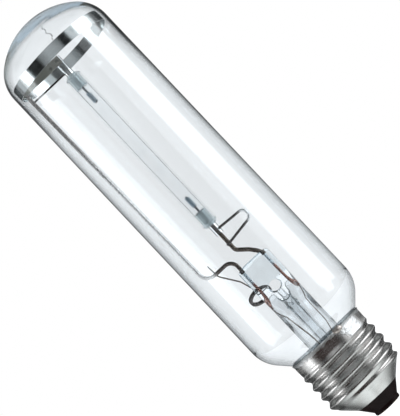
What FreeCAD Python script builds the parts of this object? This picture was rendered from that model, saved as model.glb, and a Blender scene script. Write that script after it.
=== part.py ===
import FreeCAD, Part
import math
import os
from types import SimpleNamespace

import Sketcher

# A sodium discharge lamp: a clear tubular bulb with a domed end, a ceramic arc tube on a wire frame
# inside it, a glass stem that brings the two leads in, and a screw cap with a 27 mm thread.
#
# Lengths are millimetres and angles degrees. The origin is the middle of the centre contact's end face,
# +Z runs along the lamp to the dome, and the frame rod stands on the -X side.

Vector = FreeCAD.Vector

SIZES = {
    # Outer bulb, blown in one piece from dome to neck
    "overall_length": 156.0,
    "bulb_diameter": 37.5,
    "bulb_wall": 0.8,
    "dome_knuckle_radius": 11.0,
    "dome_crown_angle": 41.0,
    "shoulder_radius": 11.0,
    "shoulder_angle": 43.0,
    "neck_inset": 1.64,
    "neck_length": 11.86,
    "neck_gap": 0.8,
    # Stem: flare, tube and flat press
    "stem_tube_diameter": 11.3,
    "stem_wall": 0.9,
    "stem_tube_height": 28.8,
    "stem_cone_rise": 3.0,
    "press_side_swell": 0.25,
    "press_thickness": 4.0,
    "press_taper": 4.4,
    "press_length": 16.2,
    "press_corner_radius": 0.8,
    "press_tool_margin": 2.0,
    "exhaust_diameter": 3.5,
    "exhaust_wall": 0.8,
    "exhaust_seal_height": 4.2,
    "exhaust_tip_drop": 0.4,
    "blow_hole_rise": 2.0,
    "blow_hole_diameter": 3.6,
    # Screw shell: thin rolled sheet with a right-hand thread
    "shell_bottom_height": 5.0,
    "shell_bottom_radius": 7.5,
    "shell_height": 22.5,
    "shell_sheet": 0.25,
    "collar_inset": 0.4,
    "collar_height": 4.5,
    "collar_step_spread": 0.5,
    "rim_flare": 0.3,
    "rim_flare_height": 1.0,
    "cone_height": 4.9,
    "thread_crest_radius": 13.15,
    "thread_depth": 1.1,
    "thread_pitch": 3.629,
    "thread_first_crest_rise": 4.22,
    "thread_runout": 1.9,
    # Insulator, centre contact and solder
    "foot_radius": 4.55,
    "foot_height": 1.3,
    "foot_recess": 0.12,
    "foot_corner": 0.2,
    "insulator_rise": 3.7,
    "insulator_wall": 1.6,
    "insulator_floor_height": 3.2,
    "insulator_bowl_radius": 3.6,
    "contact_inset": 0.65,
    "contact_thickness": 0.35,
    "eyelet_radius": 1.5,
    "eyelet_wall": 0.4,
    "eyelet_height": 2.2,
    "side_solder_width": 3.0,
    "side_solder_rise": 2.3,
    "side_solder_depth": 2.1,
    "side_solder_angle": -71.0,
    # Capping cement
    "cement_depth": 6.8,
    "fit_clearance": 0.04,
    # Frame rod and lower lead
    "rod_diameter": 1.2,
    "rod_ring_gap": 1.95,
    "rod_lean": 0.95,
    "rod_hook_rise": 3.95,
    "rod_press_inset": 1.6,
    "rod_hook_radius": 3.3,
    "rod_drop_radius": 2.8,
    "lead_diameter": 1.3,
    "lead_insertion": 4.2,
    "lead_bend_rise": 5.3,
    "lead_step_run": 1.4,
    "lead_step_rise": 2.6,
    "lead_press_inset": 1.9,
    "lead_entry_run": 0.9,
    "lead_entry_rise": 0.9,
    "lead_foot_length": 0.8,
    "lead_bend_radius": 1.6,
    # Seal wires and the leads below them
    "seal_wire_diameter": 0.8,
    "seal_wire_depth": 1.5,
    "seal_wire_foot": 1.2,
    "centre_lead_diameter": 0.5,
    "centre_lead_kink_drop": 1.3,
    "centre_lead_slant": 12.2,
    "centre_lead_under_neck": 1.4,
    "centre_lead_drop": 4.0,
    "centre_lead_end_height": 1.2,
    "exhaust_gap": 0.35,
    "side_lead_diameter": 0.35,
    "side_lead_kink_drop": 11.8,
    "side_lead_slant": 9.0,
    "side_lead_inner_radius": 3.9,
    "side_lead_under_flare": 1.1,
    "side_lead_bend_radius": 0.8,
    # Expansion loop and upper lead
    "loop_wire_diameter": 0.8,
    "loop_weld_rise": 1.5,
    "loop_upper_slant": 0.6,
    "loop_mouth": 3.3,
    "loop_lower_slant": 1.6,
    "loop_reach": 10.1,
    "loop_tail": 0.9,
    "loop_corner_radius": 1.4,
    "upper_lead_diameter": 0.6,
    "upper_lead_rise": 2.5,
    # Dome ring and cross strap
    "ring_glass_gap": 0.65,
    "ring_sheet": 0.25,
    "ring_width": 3.6,
    "ring_drop": 14.0,
    "ring_tilt": 1.7,
    "strap_sheet": 0.35,
    "strap_width": 2.6,
    "strap_step_gap": 3.6,
    "strap_step_run": 1.3,
    "strap_overhang": 0.9,
    "strap_tab": 2.4,
    # Arc tube and what it holds
    "arc_tube_x": -1.4,
    "arc_tube_diameter": 5.2,
    "arc_tube_wall": 0.65,
    "arc_tube_foot_gap": 16.3,
    "arc_tube_head_gap": 5.2,
    "plug_length": 4.3,
    "niobium_diameter": 2.6,
    "niobium_wall": 0.25,
    "niobium_head_inset": 0.1,
    "niobium_foot_length": 4.5,
    "electrode_diameter": 0.7,
    "electrode_length": 6.2,
    "coil_wire_diameter": 0.4,
    "coil_length": 3.9,
    "coil_pitch": 0.45,
    "coil_setback": 0.2,
    "dose_gap": 0.2,
    "dose_thickness": 0.35,
    # Getter ring and its holder wire
    "getter_x": -5.4,
    "getter_press_gap": 4.0,
    "getter_drop": 9.6,
    "getter_ring_diameter": 8.0,
    "getter_ring_section": 0.9,
    "getter_groove": 0.35,
    "getter_tilt": 31.0,
    "holder_diameter": 0.45,
    "holder_top_run": 3.4,
    "holder_weld_run": 3.7,
    "holder_top_rise": 3.45,
    "holder_bend_drop": 0.95,
    "holder_knee_run": 1.5,
    "holder_knee_drop": 2.6,
    "holder_bend_radius": 2.0,
}

# The threaded skin is a smooth surface over this many rows up the shell and columns round it.
SKIN_ROWS = 96
SKIN_COLUMNS = 36
SHORT_STEP = 0.05


class Size:
    """A number from the sheet, or worked out from such numbers, with the formula that gives it."""

    def __init__(self, value, formula, bound=True):
        self.value = value
        self.formula = formula
        self.bound = bound

    def __add__(self, other):
        other = sized(other)
        return Size(self.value + other.value, f"({self.formula} + {other.formula})")

    def __sub__(self, other):
        other = sized(other)
        return Size(self.value - other.value, f"({self.formula} - {other.formula})")

    def __mul__(self, other):
        other = sized(other)
        return Size(self.value * other.value, f"({self.formula} * {other.formula})")

    def __truediv__(self, other):
        other = sized(other)
        return Size(self.value / other.value, f"({self.formula} / {other.formula})")

    def __neg__(self):
        return Size(-self.value, f"(0 - {self.formula})")


def sized(number):
    """The number as a Size."""
    if isinstance(number, Size):
        return number
    return Size(float(number), f"({float(number)})", bound=False)


def sine(angle):
    return Size(math.sin(math.radians(angle.value)), f"sin({angle.formula})")


def cosine(angle):
    return Size(math.cos(math.radians(angle.value)), f"cos({angle.formula})")


def tangent(angle):
    return Size(math.tan(math.radians(angle.value)), f"tan({angle.formula})")


def square_root(area):
    return Size(math.sqrt(area.value), f"sqrt({area.formula})")


def make_sheet(doc):
    """The sheet of driving sizes, and the same sizes to read by name."""
    sheet = doc.addObject("Spreadsheet::Sheet", "Sizes")
    for row, (name, value) in enumerate(SIZES.items(), start=1):
        sheet.set(f"A{row}", name)
        sheet.set(f"B{row}", str(value))
        sheet.setAlias(f"B{row}", name)
    doc.recompute()
    return SimpleNamespace(**{name: Size(float(sheet.get(name)), f"Sizes.{name}") for name in SIZES})


def seat_pieces(size):
    """Places that follow from the sizes and from the gaps between neighbours, from the cap up to the dome."""
    size.shell_top_height = size.shell_bottom_height + size.shell_height
    size.collar_bottom_height = size.shell_top_height - size.collar_height
    size.collar_radius = size.thread_crest_radius - size.collar_inset
    size.cone_top_height = size.shell_bottom_height + size.cone_height
    size.thread_root_radius = size.thread_crest_radius - size.thread_depth
    size.thread_middle_radius = size.thread_crest_radius - size.thread_depth / 2
    size.first_crest_height = size.shell_bottom_height + size.thread_first_crest_rise
    size.contact_radius = size.foot_radius - size.contact_inset
    size.eyelet_bore_radius = size.eyelet_radius - size.eyelet_wall

    size.bulb_radius = size.bulb_diameter / 2
    size.neck_radius = size.thread_root_radius - size.shell_sheet - size.neck_gap
    size.neck_top_height = size.shell_top_height - size.neck_inset
    size.neck_bottom_height = size.neck_top_height - size.neck_length
    size.cone_edge_radius = size.bulb_radius - size.shoulder_radius * (sized(1) - cosine(size.shoulder_angle))
    cone_run = size.cone_edge_radius - size.neck_radius
    size.cone_edge_height = size.neck_top_height + cone_run / tangent(size.shoulder_angle)
    size.shoulder_height = size.cone_edge_height + size.shoulder_radius * sine(size.shoulder_angle)

    size.stem_radius = size.stem_tube_diameter / 2
    size.stem_tube_top_height = size.neck_bottom_height + size.stem_tube_height
    size.press_half_width = size.stem_radius + size.press_side_swell
    size.press_flat_height = size.stem_tube_top_height + size.press_taper
    size.press_top_height = size.stem_tube_top_height + size.press_length
    size.exhaust_top_height = size.stem_tube_top_height + size.exhaust_seal_height
    size.blow_hole_height = size.exhaust_top_height + size.blow_hole_rise
    size.seal_wire_top_height = size.press_top_height - size.seal_wire_depth
    size.seal_wire_bottom_height = size.stem_tube_top_height + size.seal_wire_foot
    size.rod_press_x = -(size.press_half_width - size.rod_press_inset)
    size.rod_hook_height = size.press_top_height + size.rod_hook_rise
    size.lead_press_x = size.press_half_width - size.lead_press_inset

    size.ring_radius = size.bulb_radius - size.bulb_wall - size.ring_glass_gap
    size.ring_height = size.overall_length - size.ring_drop
    size.rod_top_x = -(size.ring_radius - size.rod_ring_gap)
    size.rod_bottom_x = size.rod_top_x + size.rod_lean
    size.strap_bottom_height = size.ring_height - size.ring_width / 2
    size.strap_top_height = size.strap_bottom_height + size.strap_width
    size.arc_tube_bottom_height = size.press_top_height + size.arc_tube_foot_gap
    size.arc_tube_top_height = size.strap_bottom_height - size.arc_tube_head_gap
    size.niobium_foot_height = size.arc_tube_bottom_height - size.niobium_foot_length
    size.loop_upper_height = size.niobium_foot_height + size.loop_weld_rise


def bind(thing, prop, length):
    """Ties a property to the sheet."""
    thing.setExpression(prop, sized(length).formula)


def new_body(doc, label):
    body = doc.addObject("PartDesign::Body", label)
    body.Label = label
    return body


def new_sketch(body, name, role, offset=None):
    """A sketch on one of the body's own origin planes, moved along its normal by offset."""
    sketch = body.newObject("Sketcher::SketchObject", name)
    plane = next(feature for feature in body.Origin.OriginFeatures if feature.Role == role)
    sketch.AttachmentSupport = [(plane, "")]
    sketch.MapMode = "FlatFace"
    if offset is not None:
        bind(sketch, "AttachmentOffset.Base.z", offset)
    return sketch


def hold(sketch, kind, *where, length):
    """Adds a constraint whose value follows the sheet."""
    length = sized(length)
    index = sketch.addConstraint(Sketcher.Constraint(kind, *where, length.value))
    if length.bound:
        sketch.setExpression(f"Constraints[{index}]", length.formula)


def place(sketch, geometry, end, x, y):
    """Holds one point of a sketch at x, y."""
    hold(sketch, "DistanceX", geometry, end, length=x)
    hold(sketch, "DistanceY", geometry, end, length=y)


def flat(point):
    return Vector(sized(point[0]).value, sized(point[1]).value, 0)


def arc_about(centre, start, end, turn):
    """The arc from start to end, kept anticlockwise. turn is 1 for a left turn and -1 for a right."""
    first, last = (start, end) if turn > 0 else (end, start)
    angles = [math.atan2(p.y - centre.y, p.x - centre.x) for p in (first, last)]
    if angles[1] < angles[0]:
        angles[1] += 2 * math.pi
    circle = Part.Circle(centre, Vector(0, 0, 1), (start - centre).Length)
    return Part.ArcOfCircle(circle, angles[0], angles[1])


def outline(sketch, corners):
    """A closed line through corners (x, y), or (x, y, radius, turn) where an arc ends."""
    edges = []
    for before, corner in zip([corners[-1]] + corners[:-1], corners):
        start, end = flat(before), flat(corner)
        if len(corner) == 2:
            edges.append((sketch.addGeometry(Part.LineSegment(start, end), False), 1, 2))
            continue
        radius, turn = corner[2], corner[3]
        chord = end - start
        left = Vector(-chord.y, chord.x, 0).normalize()
        reach = math.sqrt(max(radius.value**2 - (chord.Length / 2) ** 2, 0.0))
        centre = (start + end) * 0.5 + left * (reach * turn)
        edge = sketch.addGeometry(arc_about(centre, start, end, turn), False)
        edges.append((edge, 1, 2) if turn > 0 else (edge, 2, 1))
        hold(sketch, "Radius", edge, length=radius)
    for (edge, first, last), (following, start, end) in zip(edges, edges[1:] + edges[:1]):
        sketch.addConstraint(Sketcher.Constraint("Coincident", edge, last, following, start))
    for (edge, first, last), corner in zip(edges, corners):
        place(sketch, edge, last, corner[0], corner[1])


def round_outline(sketch, centre, diameter):
    """A circle about the centre."""
    circle = sketch.addGeometry(Part.Circle(flat(centre), Vector(0, 0, 1), diameter.value / 2), False)
    place(sketch, circle, 3, *centre)
    hold(sketch, "Radius", circle, length=diameter / 2)


def bent_line(sketch, corners, radii):
    """An open line through the corners, each inner corner rounded by its radius."""
    points = [flat(corner) for corner in corners]
    starts, ends, arcs = [points[0]], [], []
    for i, radius in enumerate(radii, start=1):
        come = (points[i] - points[i - 1]).normalize()
        leave = (points[i + 1] - points[i]).normalize()
        turn = 1 if come.cross(leave).z > 0 else -1
        cut = radius.value * math.tan(come.getAngle(leave) / 2)
        centre = points[i] - come * cut + Vector(-come.y, come.x, 0) * (radius.value * turn)
        ends.append(points[i] - come * cut)
        starts.append(points[i] + leave * cut)
        arcs.append((centre, turn))
    ends.append(points[-1])
    lines = [sketch.addGeometry(Part.LineSegment(a, b), False) for a, b in zip(starts, ends)]
    for i, (centre, turn) in enumerate(arcs):
        arc = sketch.addGeometry(arc_about(centre, ends[i], starts[i + 1], turn), False)
        first, last = (1, 2) if turn > 0 else (2, 1)
        sketch.addConstraint(Sketcher.Constraint("Tangent", lines[i], 2, arc, first))
        sketch.addConstraint(Sketcher.Constraint("Tangent", arc, last, lines[i + 1], 1))
        corner = sketch.addGeometry(Part.Point(points[i + 1]), True)
        sketch.addConstraint(Sketcher.Constraint("PointOnObject", corner, 1, lines[i]))
        sketch.addConstraint(Sketcher.Constraint("PointOnObject", corner, 1, lines[i + 1]))
        place(sketch, corner, 1, *corners[i + 1])
        hold(sketch, "Radius", arc, length=radii[i])
    place(sketch, lines[0], 1, *corners[0])
    place(sketch, lines[-1], 2, *corners[-1])


def turned(doc, label, corners, x=None):
    """A piece turned about the upright line at x, from the outline of its right half."""
    body = new_body(doc, label)
    sketch = new_sketch(body, label + "_outline", "XZ_Plane")
    outline(sketch, corners)
    turn = body.newObject("PartDesign::Revolution", label + "_turn")
    turn.Profile = sketch
    turn.ReferenceAxis = (sketch, ["V_Axis"])
    turn.Angle = 360
    if x is not None:
        bind(body, "Placement.Base.x", x)
    return body


def bent_wire(doc, label, corners, radii, diameter, back=0, start_role="XY_Plane"):
    """A round wire bent in the upright plane that lies back behind the lamp's middle."""
    body = new_body(doc, label)
    line = new_sketch(body, label + "_line", "XZ_Plane", -sized(back))
    bent_line(line, corners, radii)
    x, z = corners[0]
    upright = start_role == "XY_Plane"
    section = new_sketch(body, label + "_section", start_role, z if upright else x)
    centre = (x, back) if upright else (back, z)
    round_outline(section, centre, diameter)
    pipe = body.newObject("PartDesign::AdditivePipe", label + "_sweep")
    pipe.Profile = section
    pipe.Spine = line
    return body


def cylinder(doc, label, radius, bottom, top, x, y=0):
    rod = doc.addObject("Part::Cylinder", label)
    rod.Label = label
    bind(rod, "Radius", radius)
    bind(rod, "Height", top - bottom)
    bind(rod, "Placement.Base.x", x)
    bind(rod, "Placement.Base.y", y)
    bind(rod, "Placement.Base.z", bottom)
    return rod


def cut(doc, label, base, tools):
    """The base with the tools taken out of it, under the piece's own label."""
    if len(tools) == 1:
        tool = tools[0]
    else:
        tool = doc.addObject("Part::MultiFuse", label + "_room")
        tool.Shapes = tools
    piece = doc.addObject("Part::Cut", label + "_cut")
    piece.Base = base
    piece.Tool = tool
    piece.Refine = False
    base.Label = label + "_blank"
    piece.Label = label
    return piece


def free_piece(doc, label, shape):
    """A piece whose shape is worked out here, from sizes read from the sheet."""
    piece = doc.addObject("Part::Feature", label)
    piece.Label = label
    piece.Shape = shape
    return piece


def rounded_wire(points, radius):
    """A line in space through the points, with each inner corner rounded."""
    edges, start = [], points[0]
    for before, corner, after in zip(points, points[1:], points[2:]):
        come = (corner - before).normalize()
        leave = (after - corner).normalize()
        half_turn = come.getAngle(leave) / 2
        reach = radius * math.tan(half_turn)
        first, last = corner - come * reach, corner + leave * reach
        inward = (leave - come).normalize()
        middle = corner + inward * (radius / math.cos(half_turn) - radius)
        edges += [Part.LineSegment(start, first).toShape(), Part.Arc(first, middle, last).toShape()]
        start = last
    edges.append(Part.LineSegment(start, points[-1]).toShape())
    return Part.Wire(edges)


def swept_round(wire, radius):
    """A round rod of the radius along the wire."""
    edge = wire.Edges[0]
    start, along = edge.valueAt(edge.FirstParameter), edge.tangentAt(edge.FirstParameter)
    section = Part.Wire(Part.Circle(start, along, radius).toShape())
    return wire.makePipeShell([section], True, True)


def make_outer_bulb(doc, size):
    """Dome of a crown arc and a knuckle arc, straight tube, shoulder, cone and neck, all of one wall."""
    radius, wall = size.bulb_radius, size.bulb_wall
    knuckle, angle = size.dome_knuckle_radius, size.dome_crown_angle
    crown = knuckle + (radius - knuckle) / sine(angle)
    crown_centre = size.overall_length - crown
    dome_base = crown_centre + (crown - knuckle) * cosine(angle)
    neck, slope = size.neck_radius, size.shoulder_angle
    cone_x, cone_z = size.cone_edge_radius, size.cone_edge_height
    return turned(doc, "outer_bulb", [
        (0, size.overall_length),
        (crown * sine(angle), crown_centre + crown * cosine(angle), crown, -1),
        (radius, dome_base, knuckle, -1),
        (radius, size.shoulder_height),
        (cone_x, cone_z, size.shoulder_radius, -1),
        (neck, size.neck_top_height),
        (neck, size.neck_bottom_height),
        (neck - wall, size.neck_bottom_height),
        (neck - wall, size.neck_top_height + wall * tangent(slope / 2)),
        (cone_x - wall * cosine(slope), cone_z + wall * sine(slope)),
        (radius - wall, size.shoulder_height, size.shoulder_radius - wall, 1),
        (radius - wall, dome_base),
        ((crown - wall) * sine(angle), crown_centre + (crown - wall) * cosine(angle), knuckle - wall, 1),
        (0, size.overall_length - wall, crown - wall, 1),
    ])


def make_stem_blank(doc, size):
    """Flare, tube and press of the stem, before the wires are sealed into it."""
    tube, wall = size.stem_radius, size.stem_wall
    neck, seal = size.neck_radius, size.neck_bottom_height
    neck_bore = neck - size.bulb_wall
    flare = neck_bore - tube
    press, corner = size.press_half_width, size.press_corner_radius
    exhaust = size.exhaust_diameter / 2
    bore = exhaust - size.exhaust_wall
    body = turned(doc, "stem_glass", [
        (tube, seal + flare),
        (neck_bore, seal, flare, 1),
        (neck, seal),
        (neck, seal - wall),
        (neck_bore, seal - wall),
        (tube - wall, seal + flare, flare + wall, -1),
        (tube - wall, size.stem_tube_top_height),
        (exhaust, size.stem_tube_top_height + size.stem_cone_rise),
        (exhaust, size.exhaust_top_height),
        (bore, size.exhaust_top_height),
        (bore, size.blow_hole_height),
        (0, size.blow_hole_height),
        (0, size.press_top_height),
        (press - corner, size.press_top_height),
        (press, size.press_top_height - corner, corner, -1),
        (press, size.stem_tube_top_height),
        (tube, size.stem_tube_top_height - (press - tube)),
    ])
    sides = new_sketch(body, "press_sides", "YZ_Plane")
    for side in (1, -1):
        near, far = size.press_thickness / 2 * side, (press + size.press_tool_margin) * side
        low = size.stem_tube_top_height
        outline(sides, [
            (near, size.press_flat_height),
            (press * side, low),
            (far, low),
            (far, size.press_top_height + size.press_tool_margin),
            (near, size.press_top_height + size.press_tool_margin),
        ])
    pressed = body.newObject("PartDesign::Pocket", "press_flats")
    pressed.Profile = sides
    pressed.Type = "Length"
    pressed.SideType = "Symmetric"
    bind(pressed, "Length", (press + size.press_tool_margin) * 2)
    hole = new_sketch(body, "blow_hole_outline", "XZ_Plane")
    round_outline(hole, (0, size.blow_hole_height), size.blow_hole_diameter)
    blown = body.newObject("PartDesign::Pocket", "blow_hole")
    blown.Profile = hole
    blown.Type = "Length"
    blown.Reversed = True
    bind(blown, "Length", size.press_thickness)
    return body


def make_exhaust_tube(doc, size):
    """The pumping tube, closed by melting off its lower tip."""
    outer = size.exhaust_diameter / 2
    bore = outer - size.exhaust_wall
    tip = size.neck_bottom_height - size.exhaust_tip_drop
    return turned(doc, "exhaust_tube", [
        (0, tip),
        (outer, tip + outer, outer, 1),
        (outer, size.exhaust_top_height),
        (bore, size.exhaust_top_height),
        (bore, tip + outer),
        (0, tip + outer - bore, bore, -1),
    ])


def shell_radius(size, height):
    """Outer radius of the shell at a height, before the thread: cone, cylinder, collar and flared rim."""
    middle = size.thread_middle_radius.value
    bottom, cone_top = size.shell_bottom_height.value, size.cone_top_height.value
    if height < cone_top:
        low = size.shell_bottom_radius.value
        return low + (middle - low) * (height - bottom) / (cone_top - bottom)
    collar = size.collar_radius.value
    step = eased(height, size.collar_bottom_height.value, size.collar_step_spread.value)
    radius = middle + (collar - middle) * step
    bend = rim_bend(size).value
    rise = max(height - size.shell_top_height.value + size.rim_flare_height.value, 0)
    return radius + bend - math.sqrt(bend**2 - rise**2)


def rim_bend(size):
    """Radius of the arc that flares the rim outwards over its last stretch."""
    height, flare = size.rim_flare_height, size.rim_flare
    return (height * height + flare * flare) / (flare * 2)


def eased(height, middle, spread):
    """Rises smoothly from 0 to 1 about the middle height, within the spread on either side."""
    share = min(max((height - middle + spread) / (2 * spread), 0.0), 1.0)
    return share * share * (3 - 2 * share)


def shell_skin(size, inset):
    """One closed skin of the threaded shell, the given inset inside its outer face.

    Its radius is the plain radius plus half the thread's depth times the cosine of the turns climbed since
    the first crest, less the angle round the axis, eased out at both ends of the thread.
    """
    rows, columns, degree = SKIN_ROWS, SKIN_COLUMNS, 3
    bottom, top = size.shell_bottom_height.value, size.shell_top_height.value
    pitch = size.thread_pitch.value
    runout = size.thread_runout.value / 2
    knots = rows - degree
    inner = [min(max(i - degree, 0), knots) / knots for i in range(rows + degree + 1)]
    heights = [bottom + (top - bottom) * sum(inner[i + 1:i + 1 + degree]) / degree for i in range(rows)]
    row_step = 2 * math.pi * (top - bottom) / knots / pitch
    depth = size.thread_depth.value / 2 * 6 / (4 + 2 * math.cos(row_step))
    swell = 6 / (4 + 2 * math.cos(2 * math.pi / columns))
    poles = []
    for column in range(columns):
        angle = 2 * math.pi * column / columns + math.pi / 2
        line = []
        for height in heights:
            fade = eased(height, size.cone_top_height.value - runout / 2, runout)
            fade *= 1 - eased(height, size.collar_bottom_height.value, runout)
            climb = 2 * math.pi * (height - size.first_crest_height.value) / pitch
            plain = shell_radius(size, height)
            rise = shell_radius(size, height + SHORT_STEP) - shell_radius(size, height - SHORT_STEP)
            lean = math.hypot(1, rise / (2 * SHORT_STEP))
            radius = plain + depth * fade * math.cos(climb - angle) - inset * lean
            line.append(Vector(radius * swell * math.cos(angle), radius * swell * math.sin(angle), height))
        poles.append(line)
    skin = Part.BSplineSurface()
    skin.buildFromPolesMultsKnots(
        poles, [1] * (columns + 1), [degree + 1] + [1] * (knots - 1) + [degree + 1],
        list(range(columns + 1)), list(range(knots + 1)), True, False, degree, degree)
    return skin.toShape()


def make_screw_shell(doc, size):
    """The shell's outer and inner skins, closed by a flat ring at the rim and one at the bottom edge."""
    outer = shell_skin(size, 0.0)
    inner = shell_skin(size, size.shell_sheet.value)
    faces = [outer, inner]
    for height in (size.shell_bottom_height.value, size.shell_top_height.value):
        loops = [Part.Wire(edge) for skin in (outer, inner) for edge in skin.Edges
                 if abs(edge.BoundBox.ZMin - height) < SHORT_STEP and edge.BoundBox.ZLength < SHORT_STEP]
        faces.append(Part.makeFace(loops, "Part::FaceMakerBullseye"))
    skin = Part.makeShell([face for shape in faces for face in shape.Faces])
    skin.sewShape()
    solid = Part.makeSolid(skin)
    if solid.Volume < 0:
        solid.reverse()
    return free_piece(doc, "screw_shell", solid)


def make_cap_insulator(doc, size):
    """Black glass cast into the shell's cone, with a foot round the centre contact and a bowl inside."""
    slope = (size.thread_middle_radius - size.shell_bottom_radius) / size.cone_height
    sheet = size.shell_sheet * square_root(slope * slope + 1) + size.fit_clearance
    top = size.shell_bottom_radius + size.insulator_rise * slope - sheet
    top_height = size.shell_bottom_height + size.insulator_rise
    return turned(doc, "cap_insulator", [
        (size.eyelet_radius, size.contact_thickness),
        (size.contact_radius, size.contact_thickness),
        (size.contact_radius, size.foot_recess),
        (size.foot_radius - size.foot_corner, size.foot_recess),
        (size.foot_radius, size.foot_recess + size.foot_corner),
        (size.foot_radius, size.foot_height),
        (size.shell_bottom_radius, size.shell_bottom_height),
        (size.shell_bottom_radius - sheet, size.shell_bottom_height),
        (top, top_height),
        (top - size.insulator_wall, top_height),
        (size.insulator_bowl_radius, size.insulator_floor_height),
        (size.eyelet_radius, size.insulator_floor_height),
    ])


def make_centre_contact(doc, size):
    """A disc with an eyelet that holds it in the insulator."""
    return turned(doc, "centre_contact", [
        (size.eyelet_bore_radius, 0),
        (size.contact_radius, 0),
        (size.contact_radius, size.contact_thickness),
        (size.eyelet_radius, size.contact_thickness),
        (size.eyelet_radius, size.eyelet_height),
        (size.eyelet_bore_radius, size.eyelet_height),
    ])


def make_capping_cement(doc, size, side_lead):
    """Cement between the neck and the shell, with room for the side lead."""
    neck, gap = size.neck_radius, size.fit_clearance
    top = size.neck_top_height - gap
    bottom = top - size.cement_depth
    root = size.thread_root_radius - size.shell_sheet - gap * 2
    collar = size.collar_radius - size.shell_sheet - gap
    step = size.collar_bottom_height + size.thread_runout / 2
    ring = turned(doc, "capping_cement", [
        (neck, bottom),
        (root, bottom),
        (root, size.collar_bottom_height - size.thread_runout / 4),
        (collar, step),
        (collar, top),
        (neck, top),
    ])
    return cut(doc, "capping_cement", ring, [side_lead])


def make_centre_lead(doc, size):
    """From the frame rod's seal wire down the stem, past the exhaust tube and into the contact's eyelet."""
    beside = -(size.exhaust_diameter / 2 + size.exhaust_gap + size.centre_lead_diameter / 2)
    kink = size.stem_tube_top_height - size.centre_lead_kink_drop
    turn = size.neck_bottom_height - size.centre_lead_under_neck
    return bent_wire(doc, "centre_lead_wire", [
        (size.rod_press_x, size.seal_wire_bottom_height),
        (size.rod_press_x, kink),
        (beside, kink - size.centre_lead_slant),
        (beside, turn),
        (0, turn - size.centre_lead_drop),
        (0, size.centre_lead_end_height),
    ], [size.lead_bend_radius] * 4, size.centre_lead_diameter)


def make_side_lead(doc, size):
    """From the other seal wire down the stem, under the flare, up beside the neck and to the shell's rim."""
    angle = math.radians(size.side_solder_angle.value)
    thick = size.side_lead_diameter.value
    neck = size.neck_radius.value
    slope = math.radians(size.shoulder_angle.value)
    shell_room = size.thread_root_radius.value - size.shell_sheet.value
    beside = (neck + shell_room) / 2
    low = size.neck_bottom_height.value - size.stem_wall.value - size.side_lead_under_flare.value
    x = size.lead_press_x.value
    rim = (neck + size.collar_radius.value - size.shell_sheet.value) / 2 + thick
    kink = size.stem_tube_top_height.value - size.side_lead_kink_drop.value

    def under_cone(radius):
        """Height at which the wire's middle clears the glass cone at a radius."""
        return size.neck_top_height.value + (radius - neck) / math.tan(slope) - thick

    def out(radius, height):
        return Vector(radius * math.cos(angle), radius * math.sin(angle), height)

    inside = size.side_lead_inner_radius.value
    wire = rounded_wire([
        Vector(x, 0, size.seal_wire_bottom_height.value),
        Vector(x, 0, kink),
        out(inside, kink - size.side_lead_slant.value),
        out(inside, low),
        out(beside, low),
        out(beside, under_cone(beside)),
        out(rim, under_cone(rim)),
    ], size.side_lead_bend_radius.value)
    return free_piece(doc, "side_lead_wire", swept_round(wire, thick / 2))


def make_side_solder(doc, size, tools):
    """A lump of solder that sits astride the shell's rim, with the side lead in it."""
    angle = size.side_solder_angle
    outer, top = size.collar_radius, size.shell_top_height
    bend, height = rim_bend(size), size.rim_flare_height
    outside = bend - size.fit_clearance
    inside = bend + size.shell_sheet + size.fit_clearance
    centre = outer + bend
    rim = turned(doc, "rim_room", [
        (centre - inside, size.collar_bottom_height),
        (centre - outside, size.collar_bottom_height),
        (centre - outside, top - height),
        (centre - square_root(outside * outside - height * height), top, outside, -1),
        (centre - square_root(inside * inside - height * height), top),
        (centre - inside, top - height, inside, 1),
    ])
    lump = doc.addObject("Part::Ellipsoid", "side_solder")
    bind(lump, "Radius1", size.side_solder_rise / 2)
    bind(lump, "Radius2", size.side_solder_depth / 2)
    bind(lump, "Radius3", size.side_solder_width / 2)
    lump.Angle1, lump.Angle2, lump.Angle3 = -90, 90, 360
    bind(lump, "Placement.Base.x", outer * cosine(angle))
    bind(lump, "Placement.Base.y", outer * sine(angle))
    bind(lump, "Placement.Base.z", top - size.shell_sheet)
    bind(lump, "Placement.Rotation.Angle", angle)
    return cut(doc, "side_solder", lump, [rim] + tools)


def make_frame_rod(doc, size):
    """Long support wire from the press, hooked out to the bulb wall and up to the dome ring."""
    return bent_wire(doc, "frame_rod", [
        (size.rod_top_x, size.strap_top_height),
        (size.rod_bottom_x, size.rod_hook_height),
        (size.rod_press_x, size.rod_hook_height),
        (size.rod_press_x, size.seal_wire_top_height),
    ], [size.rod_hook_radius, size.rod_drop_radius], size.rod_diameter)


def make_lower_lead(doc, size):
    """Lead from the press, stepped over to stand loose inside the lower niobium tube."""
    entry = size.lead_press_x - size.lead_entry_run
    return bent_wire(doc, "lower_lead_wire", [
        (size.arc_tube_x, size.niobium_foot_height + size.lead_insertion),
        (size.arc_tube_x, size.press_top_height + size.lead_bend_rise),
        (entry - size.lead_step_run, size.press_top_height + size.lead_step_rise),
        (entry, size.press_top_height + size.lead_entry_rise),
        (size.lead_press_x, size.seal_wire_top_height + size.lead_foot_length),
        (size.lead_press_x, size.seal_wire_top_height),
    ], [size.lead_bend_radius] * 4, size.lead_diameter)


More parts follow.
